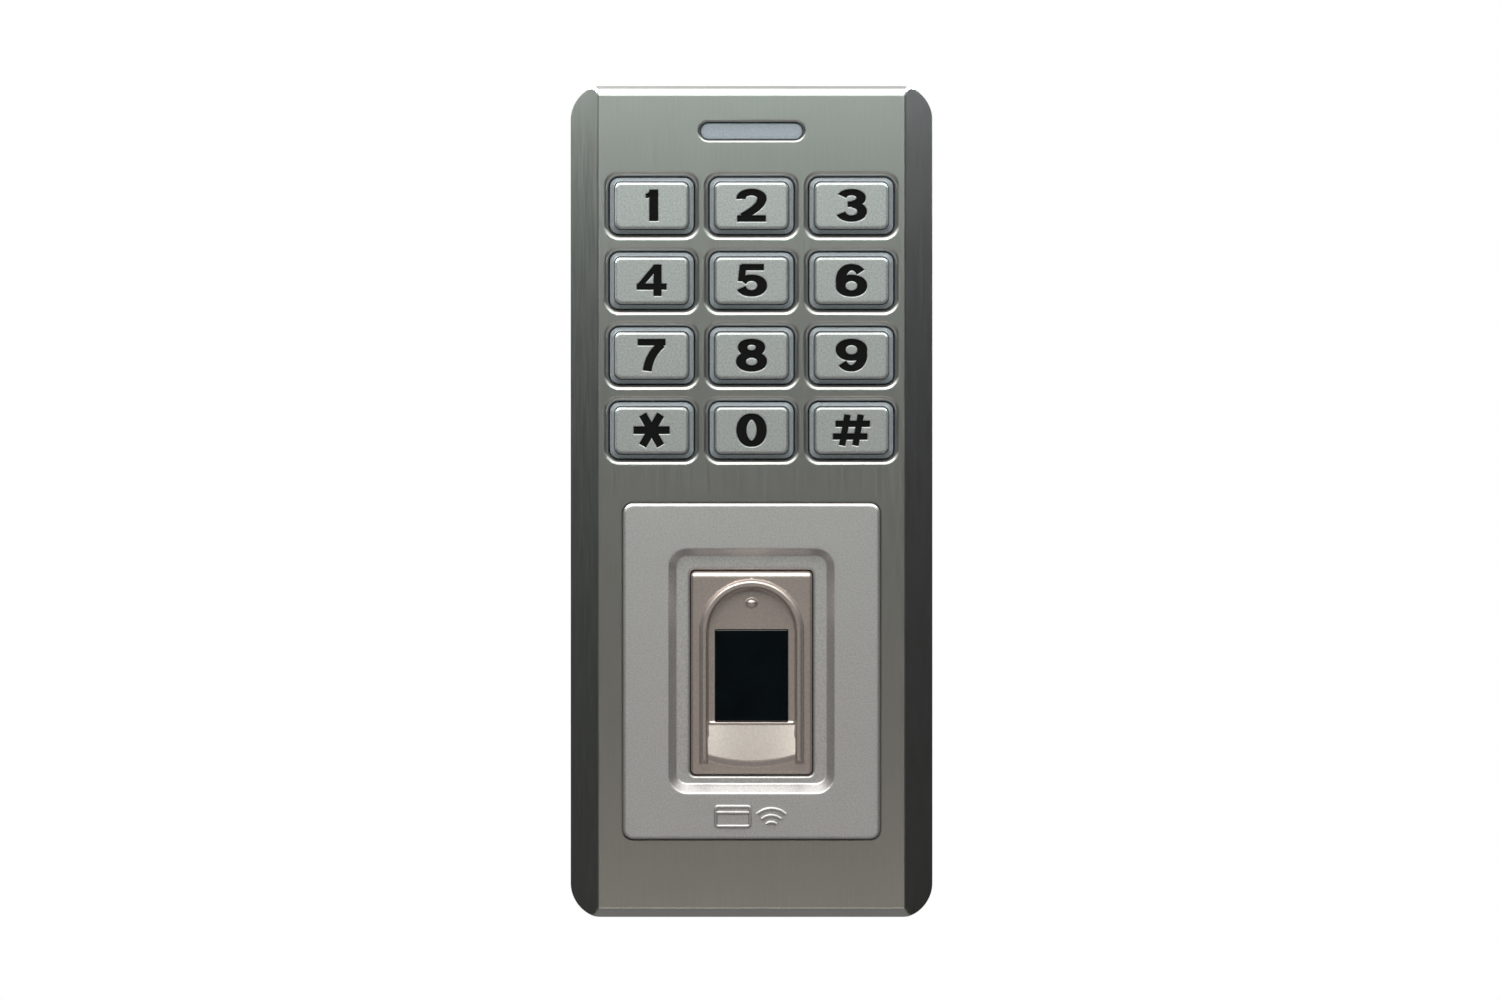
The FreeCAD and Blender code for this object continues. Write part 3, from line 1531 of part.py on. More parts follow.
def make_screws(doc, label, d, grid, diameter, head, head_thick, seat, length):
    """Four pan-head screws driven forward from the back, with cross recesses.
    grid is (across, low, high), seat the plane that the heads bear on."""
    across, low, high = grid
    x = -(across / 2)
    body = new_body(doc, label, several=True)
    pad_between(body, lambda s: add_circle(s, x, low, diameter), seat - length, seat)
    pad_between(body, lambda s: add_circle(s, x, low, head), seat, seat + head_thick)
    round_edges(body, head_thick * 0.4, flat_at(seat + head_thick))
    recess = new_sketch(body, "XZ", seat + head_thick, "recess")
    arm, half = head * 0.32, head * 0.07
    points = [
        (x - arm, low - half), (x - half, low - half), (x - half, low - arm),
        (x + half, low - arm), (x + half, low - half), (x + arm, low - half),
        (x + arm, low + half), (x + half, low + half), (x + half, low + arm),
        (x - half, low + arm), (x - half, low + half), (x - arm, low + half),
    ]
    add_loop(recess, points)
    pocket(body, recess, head_thick * 0.6, reverse=True)
    repeat(body, body.Tip, [("X", across, 2), ("Z", high - low, 2)], whole=True)


def make_locking_screw(doc, d, p):
    """Screw up through the case's underside into the plate's flange, with a hexagon socket."""
    body = new_body(doc, "locking_screw")
    head_low = p.underside + d.lock_head_sunk
    for diameter, low, tall in (
        (d.lock_head, head_low, d.lock_head_thick),
        (d.lock_screw, p.lock_seat, d.lock_screw_length),
    ):
        sketch = new_sketch(body, "XY", low, "disc")
        add_circle(sketch, 0, -d.lock_back, diameter)
        pad(body, sketch, tall)
    socket = new_sketch(body, "XY", head_low, "socket")
    radius = d.lock_head * 0.23
    corners = [math.radians(60 * i) for i in range(6)]
    points = [(radius * math.cos(a), radius * math.sin(a) - d.lock_back) for a in corners]
    add_loop(socket, points)
    pocket(body, socket, d.lock_head_thick * 0.6, reverse=True)


def make_fasteners(doc, d, p):
    small = (d.small_screw, d.small_head, d.small_head_thick)
    large = (d.board_screw, d.board_head, d.board_head_thick)
    module_grip = p.module_flange_back - p.dish_back
    for label, grid, size, seat, length in (
        ("clamp_screws", p.panel_posts, small, p.clamp_back, d.clamp_thick + d.clamp_screw_bite),
        (
            "module_screws", p.module_screws, small, p.module_flange_back,
            module_grip + d.module_screw_bite,
        ),
        ("board_screws", p.board_posts, large, p.board_back, d.board_thick + d.board_screw_bite),
        ("cover_screws", p.cover_bosses, large, p.cover_back, d.cover_thick + d.cover_screw_bite),
    ):
        make_screws(doc, label, d, grid, *size, seat, length)
    make_locking_screw(doc, d, p)


# ---------------------------------------------------------------- the whole


def make_all(doc):
    d = Dimensions(doc)
    p = Places(d)
    make_front_case(doc, d, p)
    for names, z in zip(KEY_NAMES, p.key_rows):
        for name, x in zip(names, p.key_columns):
            make_key(doc, d, p, name, x, z)
    make_keypad_mat(doc, d, p)
    make_status_lens(doc, d, p)
    make_card_panel(doc, d, p)
    make_panel_fixings(doc, d, p)
    make_finger_guide(doc, d, p)
    make_sensor_module(doc, d, p)
    make_main_board(doc, d, p)
    make_board_parts(doc, d, p)
    make_rear_cover(doc, d, p)
    make_mounting_plate(doc, d, p)
    make_fasteners(doc, d, p)
    doc.recompute()


FIXED = [
    "front_case", "keypad_mat", "status_lens", "status_leds", "card_panel", "panel_gasket",
    "clamp_frame", "antenna_coil", "finger_guide", "sensor_window", "sensor_housing",
    "sensor_board", "ribbon_connectors", "sensor_ribbon", "main_board", "backlight_leds",
    "processor", "relay", "driver_chips", "cable_header", "capacitors", "buzzer",
    "tamper_sensor", "rear_cover", "cover_seal", "cable_grommet", "tamper_light_pipe",
    "mounting_plate", "clamp_screws", "module_screws", "board_screws", "cover_screws",
    "locking_screw",
]


def sub_part_labels():
    names = [name for row in KEY_NAMES for name in row]
    return FIXED + ["key_cap_" + n for n in names] + ["key_skirt_" + n for n in names]


def check_and_write(doc):
    """Refuses a document with a failed object or a bad shape, then writes each sub-part."""
    failed = [o.Name for o in doc.Objects if {"Invalid", "Error"} & set(o.State)]
    if failed:
        raise ValueError(f"failed objects: {failed}")
    parts = {label: doc.getObjectsByLabel(label)[0].Shape for label in sub_part_labels()}
    bad = [label for label, s in parts.items() if s.isNull() or not s.isValid() or not s.Solids]
    if bad:
        raise ValueError(f"bad shapes: {bad}")
    os.makedirs("parts", exist_ok=True)
    for old in os.listdir("parts"):
        os.remove(os.path.join("parts", old))
    for label, shape in parts.items():
        shape.exportStep(os.path.join("parts", label + ".step"))
    print(f"{len(parts)} sub-parts, {sum(len(s.Solids) for s in parts.values())} solids")


document = FreeCAD.newDocument("access_terminal")
make_all(document)
check_and_write(document)
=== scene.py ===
"""Looks of a wall-mounted access terminal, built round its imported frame.

The terminal is a bevelled metal case with a status light, twelve sprung keys and a silver
card panel, in which a fingerprint reader is set. The frame is in metres: the wall is the
plane Y = 0, the face looks along -Y, +Z is up and X = 0 is the middle. Shapes are worked
out here in millimetres and put into meshes in metres.
"""

from __future__ import annotations

import logging
import math
from dataclasses import dataclass, field
from enum import Enum
from typing import Any, Iterable, Sequence

import bmesh
import bpy
import numpy as np
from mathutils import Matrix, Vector

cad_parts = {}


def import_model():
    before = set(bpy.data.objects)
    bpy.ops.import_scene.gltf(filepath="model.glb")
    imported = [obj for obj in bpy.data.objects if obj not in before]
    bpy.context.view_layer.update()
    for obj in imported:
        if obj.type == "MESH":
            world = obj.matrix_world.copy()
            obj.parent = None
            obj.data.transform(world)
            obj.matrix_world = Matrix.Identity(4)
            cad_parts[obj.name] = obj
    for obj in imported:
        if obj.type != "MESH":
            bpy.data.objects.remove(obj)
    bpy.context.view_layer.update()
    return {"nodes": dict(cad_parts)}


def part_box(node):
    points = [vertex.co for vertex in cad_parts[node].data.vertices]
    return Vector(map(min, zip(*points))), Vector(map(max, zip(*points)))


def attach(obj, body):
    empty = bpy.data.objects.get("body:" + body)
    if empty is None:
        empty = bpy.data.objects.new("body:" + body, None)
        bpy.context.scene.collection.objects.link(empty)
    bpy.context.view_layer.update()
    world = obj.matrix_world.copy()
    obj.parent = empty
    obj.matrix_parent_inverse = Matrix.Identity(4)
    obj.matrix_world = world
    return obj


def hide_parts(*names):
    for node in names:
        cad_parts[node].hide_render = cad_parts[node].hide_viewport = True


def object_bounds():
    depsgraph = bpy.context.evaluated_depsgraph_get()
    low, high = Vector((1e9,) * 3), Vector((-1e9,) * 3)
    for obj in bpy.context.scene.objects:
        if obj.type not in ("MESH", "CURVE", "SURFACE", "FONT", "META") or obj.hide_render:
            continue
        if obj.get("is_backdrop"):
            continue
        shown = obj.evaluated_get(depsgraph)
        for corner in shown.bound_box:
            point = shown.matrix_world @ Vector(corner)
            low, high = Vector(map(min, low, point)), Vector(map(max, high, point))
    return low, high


LOG = logging.getLogger("terminal")
MM = 0.001
ROOT_BODY = "terminal"
FAR_OUTSIDE = -9.0
"""A depth inside an outline that stands for well outside it, in millimetres."""
READER_DROP = 0.3
"""The finger guide's middle below the card panel's, in millimetres."""


# ---------------------------------------------------------------- colours and nodes


def linear(hex_colour: str) -> tuple[float, float, float, float]:
    """Turns an sRGB hex colour, such as "#8a8f8c", to linear light.

    Args:
        hex_colour: The colour as a hash sign and six hexadecimal digits.

    Returns:
        Red, green, blue and an alpha of 1.
    """
    encoded = np.array([int(hex_colour[i : i + 2], 16) for i in (1, 3, 5)]) / 255
    light = np.where(encoded <= 0.04045, encoded / 12.92, ((encoded + 0.055) / 1.055) ** 2.4)
    return (*light.tolist(), 1.0)


def add_node(
    tree: bpy.types.NodeTree,
    kind: str,
    settings: dict[str, Any] | None = None,
    inputs: dict[str | int, Any] | None = None,
) -> bpy.types.Node:
    """Adds a node with its settings and its inputs.

    Args:
        tree: The node tree that the node goes into.
        kind: The node's Blender type.
        settings: Property values by name.
        inputs: Socket values by name or place; an output socket is linked.

    Returns:
        The node.
    """
    node = tree.nodes.new(kind)
    for name, value in (settings or {}).items():
        setattr(node, name, value)
    for name, value in (inputs or {}).items():
        if isinstance(value, bpy.types.NodeSocket):
            tree.links.new(value, node.inputs[name])
        else:
            node.inputs[name].default_value = value
    return node


def grain(
    tree: bpy.types.NodeTree, size_mm: Sequence[float], detail: float = 2.0
) -> bpy.types.NodeSocket:
    """Noise whose spots are size_mm wide along X, Y and Z.

    Args:
        tree: The material's node tree.
        size_mm: The spots' size along the three axes.
        detail: How many finer layers are added.

    Returns:
        The noise's value socket, about 0.5 on average.
    """
    place = add_node(tree, "ShaderNodeTexCoord")
    spread = add_node(
        tree,
        "ShaderNodeMapping",
        inputs={
            "Vector": place.outputs["Object"],
            "Scale": [1 / (size * MM) for size in size_mm],
        },
    )
    noise = add_node(
        tree,
        "ShaderNodeTexNoise",
        inputs={"Vector": spread.outputs[0], "Scale": 1.0, "Detail": detail},
    )
    return noise.outputs["Fac"]


def ramp(
    tree: bpy.types.NodeTree, value: bpy.types.NodeSocket, low: float, high: float
) -> bpy.types.NodeSocket:
    """Maps a noise value of 0.3 to 0.7 to the range low to high.

    Args:
        tree: The material's node tree.
        value: The noise.
        low: The result at 0.3.
        high: The result at 0.7.

    Returns:
        The mapped value's socket.
    """
    mapped = add_node(
        tree,
        "ShaderNodeMapRange",
        inputs={"Value": value, "From Min": 0.3, "From Max": 0.7, "To Min": low, "To Max": high},
    )
    return mapped.outputs[0]


def tint(
    tree: bpy.types.NodeTree, value: bpy.types.NodeSocket, dark: str, light: str
) -> bpy.types.NodeSocket:
    """Mixes two sRGB colours by a value.

    Args:
        tree: The material's node tree.
        value: The share of the light colour.
        dark: The colour at 0.
        light: The colour at 1.

    Returns:
        The colour's socket.
    """
    mix = add_node(
        tree,
        "ShaderNodeMix",
        {"data_type": "RGBA"},
        {"Factor": value, 6: linear(dark), 7: linear(light)},
    )
    return mix.outputs[2]


def bump(
    tree: bpy.types.NodeTree,
    height: bpy.types.NodeSocket,
    depth_mm: float,
    below: bpy.types.NodeSocket | None = None,
) -> bpy.types.NodeSocket:
    """A bump whose height of 1 stands depth_mm proud.

    Args:
        tree: The material's node tree.
        height: The pattern.
        depth_mm: How proud the pattern's 1 stands.
        below: The normal of a pattern that this one lies on.

    Returns:
        The normal's socket.
    """
    inputs: dict[str | int, Any] = {"Height": height, "Distance": depth_mm * MM}
    if below is not None:
        inputs["Normal"] = below
    return add_node(tree, "ShaderNodeBump", inputs=inputs).outputs[0]


# ---------------------------------------------------------------- finishes


@dataclass(frozen=True)
class Finish:
    """A plain finish: one colour, slightly clouded, with a fine grain.

    Attributes:
        name: The material's name.
        dark: The colour in the grain's hollows.
        light: The colour on the grain's tops.
        roughness: The mean roughness.
        metallic: 1 for bare metal.
        grain_mm: The grain's size.
        grain_depth_mm: The grain's height.
        coat: Clear lacquer over it.
        shine: Strength of the mirror glint on what isn't metal.
    """

    name: str
    dark: str
    light: str
    roughness: float
    metallic: float = 0.0
    grain_mm: tuple[float, float, float] = (0.35, 0.35, 0.35)
    grain_depth_mm: float = 0.004
    coat: float = 0.0
    shine: float = 0.5

    def material(self) -> bpy.types.Material:
        """Makes the material, and lets the finish lay its own pattern.

        Returns:
            The material.
        """
        material = bpy.data.materials.new(self.name)
        material.use_nodes = True
        tree = material.node_tree
        shader = tree.nodes["Principled BSDF"]
        shader.inputs["Metallic"].default_value = self.metallic
        shader.inputs["Coat Weight"].default_value = self.coat
        shader.inputs["Specular IOR Level"].default_value = self.shine
        self.lay(tree, shader)
        return material

    def lay(self, tree: bpy.types.NodeTree, shader: bpy.types.Node) -> None:
        """Joins the pattern's colour, roughness and normal to the shader.

        Args:
            tree: The material's node tree.
            shader: Its Principled BSDF node.
        """
        spots = grain(tree, self.grain_mm)
        colour = tint(tree, ramp(tree, spots, 0.0, 1.0), self.dark, self.light)
        rough = ramp(tree, spots, self.roughness * 1.08, self.roughness * 0.92)
        tree.links.new(colour, shader.inputs["Base Color"])
        tree.links.new(rough, shader.inputs["Roughness"])
        tree.links.new(bump(tree, spots, self.grain_depth_mm), shader.inputs["Normal"])


@dataclass(frozen=True)
class BrushedNickel(Finish):
    """Satin nickel plate on a cast case, brushed with a belt from top to bottom.

    To the eye it is a soft grey metal, streaked along its height. Such a belt usually
    leaves lines of about 0.1 mm, which wouldn't show, so they are drawn 0.25 mm wide. The
    faint clouds are where the belt pressed harder.

    Attributes:
        line_mm: The brush lines' size.
        cloud_mm: The clouds' size.
        cloud_share: How much the clouds add to the colour.
        speck_share: The specks' height, as a share of the lines'.
    """

    line_mm: tuple[float, float, float] = (0.25, 0.25, 9.0)
    cloud_mm: tuple[float, float, float] = (9.0, 9.0, 30.0)
    cloud_share: float = 0.3
    speck_share: float = 0.4

    def lay(self, tree: bpy.types.NodeTree, shader: bpy.types.Node) -> None:
        """Lays brush lines over clouds.

        Args:
            tree: The material's node tree.
            shader: Its Principled BSDF node.
        """
        lines = grain(tree, self.line_mm, 3.0)
        specks = grain(tree, self.grain_mm, 1.0)
        clouds = grain(tree, self.cloud_mm, 2.0)
        share = add_node(
            tree,
            "ShaderNodeMath",
            {"operation": "MULTIPLY_ADD"},
            {0: clouds, 1: self.cloud_share, 2: ramp(tree, lines, 0.15, 0.6)},
        ).outputs[0]
        colour = tint(tree, share, self.dark, self.light)
        rough = ramp(tree, lines, self.roughness * 1.08, self.roughness * 0.92)
        lined = bump(tree, lines, self.grain_depth_mm)
        tree.links.new(colour, shader.inputs["Base Color"])
        tree.links.new(rough, shader.inputs["Roughness"])
        specked = bump(tree, specks, self.grain_depth_mm * self.speck_share, lined)
        tree.links.new(specked, shader.inputs["Normal"])


@dataclass(frozen=True)
class PaintedLegend(Finish):
    """Satin chrome on a die-cast cap, with black paint in its engraved sign.

    To the eye the cap is a pale, slightly sandy metal, and its sign is dull black. The mesh
    attribute "legend" is the depth inside the sign's outline in millimetres, so the paint's
    edge is as crisp as the outline.

    Attributes:
        paint: The paint's colour.
        paint_roughness: The paint's roughness.
        edge_mm: How far inside the outline the paint's edge lies.
        edge_blur_mm: Half the width over which the paint thins out.
    """

    paint: str = "#040505"
    paint_roughness: float = 0.75
    edge_mm: float = 0.1
    edge_blur_mm: float = 0.03

    def lay(self, tree: bpy.types.NodeTree, shader: bpy.types.Node) -> None:
        """Lays a sandy metal skin, and paint where the sign is cut in.

        Args:
            tree: The material's node tree.
            shader: Its Principled BSDF node.
        """
        spots = grain(tree, self.grain_mm, 3.0)
        metal = tint(tree, ramp(tree, spots, 0.0, 1.0), self.dark, self.light)
        depth = add_node(
            tree, "ShaderNodeAttribute", {"attribute_name": "legend"}
        ).outputs["Fac"]
        painted = add_node(
            tree,
            "ShaderNodeMapRange",
            {"interpolation_type": "SMOOTHSTEP"},
            {
                "Value": depth,
                "From Min": self.edge_mm - self.edge_blur_mm,
                "From Max": self.edge_mm + self.edge_blur_mm,
            },
        ).outputs[0]
        colour = add_node(
            tree,
            "ShaderNodeMix",
            {"data_type": "RGBA"},
            {"Factor": painted, 6: metal, 7: linear(self.paint)},
        ).outputs[2]
        bare = add_node(
            tree,
            "ShaderNodeMath",
            {"operation": "MULTIPLY_ADD"},
            {0: painted, 1: -self.metallic, 2: self.metallic},
        ).outputs[0]
        rough = add_node(
            tree,
            "ShaderNodeMix",
            {"data_type": "FLOAT"},
            {0: painted, 2: self.roughness, 3: self.paint_roughness},
        ).outputs[0]
        tree.links.new(colour, shader.inputs["Base Color"])
        tree.links.new(bare, shader.inputs["Metallic"])
        tree.links.new(rough, shader.inputs["Roughness"])
        tree.links.new(bump(tree, spots, self.grain_depth_mm), shader.inputs["Normal"])


@dataclass(frozen=True)
class Silicone(Finish):
    """A milky moulding, such as silicone: light spreads under its skin and softens it.

    Attributes:
        spread_mm: How far the light spreads.
        through: The share of the light that goes in.
    """

    spread_mm: float = 0.8
    through: float = 0.5

    def lay(self, tree: bpy.types.NodeTree, shader: bpy.types.Node) -> None:
        """Lays the plain grain and lets light in under it.

        Args:
            tree: The material's node tree.
            shader: Its Principled BSDF node.
        """
        super().lay(tree, shader)
        shader.inputs["Subsurface Weight"].default_value = self.through
        shader.inputs["Subsurface Radius"].default_value = (0.9, 1.0, 1.2)
        shader.inputs["Subsurface Scale"].default_value = self.spread_mm * MM
        shader.inputs["IOR"].default_value = 1.41


@dataclass(frozen=True)
class FlakePaint(Finish):
    """Paint with metal flakes, sprayed on a spark-eroded moulding: a sandy skin that glints.

    Real flakes are a few hundredths of a millimetre wide, and are drawn coarser so that
    they show.

    Attributes:
        flake_mm: The size of a flake as it is drawn.
        flake_lift: How much lighter a flake may be than the mean, and how much darker.
    """

    flake_mm: float = 0.16
    flake_lift: float = 0.12

    def lay(self, tree: bpy.types.NodeTree, shader: bpy.types.Node) -> None:
        """Lays flakes, each with its own lightness, over the moulding's sandy relief.

        Args:
            tree: The material's node tree.
            shader: Its Principled BSDF node.
        """
        place = add_node(tree, "ShaderNodeTexCoord")
        cells = add_node(
            tree,
            "ShaderNodeTexVoronoi",
            inputs={"Vector": place.outputs["Object"], "Scale": 1 / (self.flake_mm * MM)},
        )
        bright = add_node(
            tree, "ShaderNodeSeparateColor", inputs={"Color": cells.outputs["Color"]}
        ).outputs[0]
        sand = grain(tree, self.grain_mm, 3.0)
        share = add_node(
            tree,
            "ShaderNodeMath",
            {"operation": "MULTIPLY_ADD"},
            {0: bright, 1: self.flake_lift * 2, 2: ramp(tree, sand, 0.1, 0.75)},
        ).outputs[0]
        tree.links.new(
            tint(tree, share, self.dark, self.light), shader.inputs["Base Color"]
        )
        rough = ramp(tree, sand, self.roughness * 1.1, self.roughness * 0.9)
        tree.links.new(rough, shader.inputs["Roughness"])
        tree.links.new(bump(tree, sand, self.grain_depth_mm), shader.inputs["Normal"])


# Cast zinc, plated with nickel and brushed: a soft grey metal with upright streaks.
CASE_NICKEL = BrushedNickel(
    "satin_nickel", "#a9a8a5", "#b7b5b2", 0.31, 1.0, (0.3, 0.3, 1.2), 0.003
)
# Die-cast caps, satin plated: paler than the case, with a fine even grain and a dull shine.
CAP_CHROME = PaintedLegend(
    "satin_chrome_cap", "#a0a2a2", "#bfc1c1", 0.4, 0.72, (0.3, 0.3, 0.4), 0.006, shine=0.15
)
# Grey silicone, moulded in a satin mould: soft, bluish and a little see-through.
KEY_SILICONE = Silicone("key_silicone", "#8b9298", "#9ea5ab", 0.42, spread_mm=0.4, through=0.2)
# Milky plastic, moulded in a polished mould: it spreads the light of the LEDs behind it.
LENS_MILK = Silicone("milky_lens", "#99a1ab", "#abb3bc", 0.25, spread_mm=0.8, through=0.3)
# Silver flake paint on moulded plastic: bright, with a sandy relief that scatters the glints.
PANEL_SILVER = FlakePaint(
    "silver_paint", "#a8a6a6", "#d3d0d0", 0.4, 0.8, (0.3, 0.3, 0.3), 0.014
)
# Champagne pearl paint on moulded plastic: warmer and smoother than the silver.
GUIDE_PEARL = FlakePaint(
    "champagne_pearl", "#b2a6a1", "#cdc0ba", 0.34, 0.85, (0.5, 0.5, 0.5), 0.003, 0.3
)
# Coated optical glass over a dark sensor: near black and mirror smooth.
WINDOW_DARK = Finish(
    "dark_window", "#05090c", "#0a1114", 0.12, grain_mm=(6.0, 6.0, 6.0), grain_depth_mm=0.0
)
# Rolled sheet steel with zinc on it: the wide spots are the zinc's spangle.
ZINC_SHEET = Finish("zinc_plate", "#9a9d9f", "#bfc2c3", 0.38, 1.0, (5.0, 5.0, 5.0), 0.01)
# Turned screws, plated with zinc in a drum: bright, with small dents.
SCREW_ZINC = Finish("zinc_screw", "#a8a9a6", "#c8c8c4", 0.3, 1.0, (0.6, 0.6, 0.6), 0.003)
# Black ABS, moulded in a spark-eroded mould: dull, with a fine leathery grain.
COVER_ABS = Finish("black_abs", "#141516", "#1d1e20", 0.55, grain_depth_mm=0.012)
# Pressed black rubber: duller still, and nearly smooth.
RUBBER = Finish("black_rubber", "#101011", "#191919", 0.68, grain_depth_mm=0.006)
# Glass-fibre board under green solder mask: glossy lacquer with wide soft patches.
BOARD_MASK = Finish(
    "solder_mask", "#0d3b22", "#155233", 0.35, 0.0, (3.0, 3.0, 3.0), 0.01, 0.4
)
# Moulded epoxy of chip packages: dull black with a fine grain.
CHIP_EPOXY = Finish("chip_epoxy", "#161617", "#232324", 0.6)
# Uncoloured nylon, moulded: ivory with a dull shine.
NYLON_IVORY = Finish("ivory_nylon", "#cfc8b4", "#e0dac8", 0.45)
# Blue plastic of a relay's case, moulded smooth: glossy.
RELAY_BLUE = Finish("relay_case", "#153a7a", "#1d4a94", 0.32, coat=0.2)
# Drawn aluminium cans: bright and smooth.
ALUMINIUM = Finish("bare_aluminium", "#b8b9ba", "#d2d3d4", 0.28, 1.0)
# Enamelled copper wire, wound flat: reddish, with a ridge for each turn.
COPPER = Finish("enamelled_copper", "#9a4f26", "#b8673a", 0.3, 1.0, (3.0, 0.12, 3.0), 0.02)
# Polyimide film over copper tracks: amber and glossy.
KAPTON = Finish("polyimide_film", "#a8641a", "#c07a28", 0.3, coat=0.3)
# Clear acrylic, moulded smooth: pale, because the light spreads far inside it.
ACRYLIC = Silicone("clear_acrylic", "#c8ced2", "#dfe4e8", 0.1, spread_mm=3.0, through=0.3)
# Moulded LED packages with phosphor gel: cream, and a little see-through.
LED_PACKAGE = Silicone("led_package", "#d8d2b0", "#ece7cc", 0.3, spread_mm=0.6)

CAD_FINISHES: dict[Finish, tuple[str, ...]] = {
    CASE_NICKEL: ("front_case",),
    WINDOW_DARK: ("sensor_window",),
    ZINC_SHEET: ("mounting_plate", "clamp_frame"),
    SCREW_ZINC: (
        "locking_screw", "cover_screws", "board_screws", "clamp_screws", "module_screws",
    ),
    COVER_ABS: ("rear_cover", "sensor_housing"),
    RUBBER: ("cable_grommet", "cover_seal", "panel_gasket"),
    BOARD_MASK: ("main_board", "sensor_board"),
    CHIP_EPOXY: ("processor", "driver_chips", "buzzer"),
    NYLON_IVORY: ("cable_header", "ribbon_connectors", "keypad_mat"),
    RELAY_BLUE: ("relay",),
    ALUMINIUM: ("capacitors",),
    COPPER: ("antenna_coil",),
    KAPTON: ("sensor_ribbon",),
    ACRYLIC: ("tamper_light_pipe", "tamper_sensor"),
    LED_PACKAGE: ("status_leds", "backlight_leds"),
}


class Wardrobe:
    """Makes each finish's material once."""

    def __init__(self) -> None:
        """Starts with no material made."""
        self._made: dict[Finish, bpy.types.Material] = {}

    def material(self, finish: Finish) -> bpy.types.Material:
        """Returns the finish's material, and makes it the first time.

        Args:
            finish: The finish.

        Returns:
            Its material.
        """
        if finish not in self._made:
            self._made[finish] = finish.material()
        return self._made[finish]

    def dress(self, obj: bpy.types.Object, finish: Finish) -> None:
        """Puts a finish on an object in place of any other."""
        obj.data.materials.clear()
        obj.data.materials.append(self.material(finish))


# ---------------------------------------------------------------- surfaces


@dataclass
class Skin:
    """A mesh in the making.

    Attributes:
        points: Points in millimetres, one row each.
        faces: Lists of point numbers.
        values: Named numbers, one for each point.
    """

    points: np.ndarray
    faces: list[list[int]]
    values: dict[str, np.ndarray] = field(default_factory=dict)

    def joined(self, other: Skin) -> Skin:
        """Puts this skin and another side by side.

        Args:
            other: The other skin.

        Returns:
            Both as one skin.
        """
        shift = len(self.points)
        moved = [[i + shift for i in face] for face in other.faces]
        return Skin(np.vstack([self.points, other.points]), self.faces + moved)

    def piece(self, name: str, smooth_deg: float = 40.0) -> bpy.types.Object:
        """Makes the object.

        Args:
            name: The object's name.
            smooth_deg: Edges sharper than this stay sharp.

        Returns:
            The object, at the origin.
        """
        mesh = bpy.data.meshes.new(name)
        mesh.from_pydata((self.points * MM).tolist(), [], self.faces)
        for label, numbers in self.values.items():
            attribute = mesh.attributes.new(label, "FLOAT", "POINT")
            attribute.data.foreach_set("value", numbers.astype(np.float32))
        mesh.shade_smooth()
        mesh.set_sharp_from_angle(angle=math.radians(smooth_deg))
        mesh.validate()
        obj = bpy.data.objects.new(name, mesh)
        bpy.context.scene.collection.objects.link(obj)
        return obj


def grid_faces(rows: int, columns: int, wrap: bool = False) -> list[list[int]]:
    """Quads between the points of a grid, whose rows follow each other.

    Args:
        rows: The number of rows.
        columns: The number of points in a row.
        wrap: True if a row's end joins its start.

    Returns:
        The quads, each as four point numbers.
    """
    across = columns if wrap else columns - 1
    r, c = np.meshgrid(np.arange(rows - 1), np.arange(across), indexing="ij")
    n = (c + 1) % columns
    quads = np.stack(
        [r * columns + c, r * columns + n, (r + 1) * columns + n, (r + 1) * columns + c], -1
    )
    return quads.reshape(-1, 4).tolist()


def round_box(half_width: float, half_height: float, radius: float, steps: int = 10) -> np.ndarray:
    """A rounded rectangle: four quarter circles, joined by straight sides.

    Args:
        half_width: Half its width.
        half_height: Half its height.
        radius: Its corner radius.
        steps: Segments in a corner.

    Returns:
        Points (x, z) anticlockwise, as seen from the front, from the right side's lower end.
    """
    angle = np.linspace(0, math.pi / 2, steps + 1)
    corners = []
    for turn, (sx, sz) in enumerate(((1, 1), (-1, 1), (-1, -1), (1, -1))):
        a = angle + turn * math.pi / 2
        x = sx * (half_width - radius) + radius * np.cos(a)
        z = sz * (half_height - radius) + radius * np.sin(a)
        corners.append(np.stack([x, z], -1))
    return np.vstack(corners)


@dataclass(frozen=True)
class Ring:
    """One rounded rectangle of a moulding that is built up from front to back or back.

    Attributes:
        half_width: Half its width.
        half_height: Half its height.
        radius: Its corner radius.
        y: The plane that it lies in.
        lift: How far its middle lies above the moulding's.
    """

    half_width: float
    half_height: float
    radius: float
    y: float
    lift: float = 0.0

    def inset(self, by: float, y: float) -> Ring:
        """Returns the ring that lies by inside this one, all round, in the plane y.

        Its corner radius shrinks as much, and stays just above nothing.
        """
        radius = max(self.radius - by, 0.05)
        return Ring(self.half_width - by, self.half_height - by, radius, y, self.lift)

    def toward(self, other: Ring, share: float, y: float) -> Ring:
        """Mixes this ring with another.

        Args:
            other: The other ring.
            share: How far the result lies towards the other ring, from 0 to 1.
            y: The plane of the result.

        Returns:
            The ring in between.
        """
        mine = np.array([self.half_width, self.half_height, self.radius, y, self.lift])
        theirs = np.array([other.half_width, other.half_height, other.radius, y, other.lift])
        return Ring(*(mine + share * (theirs - mine)))


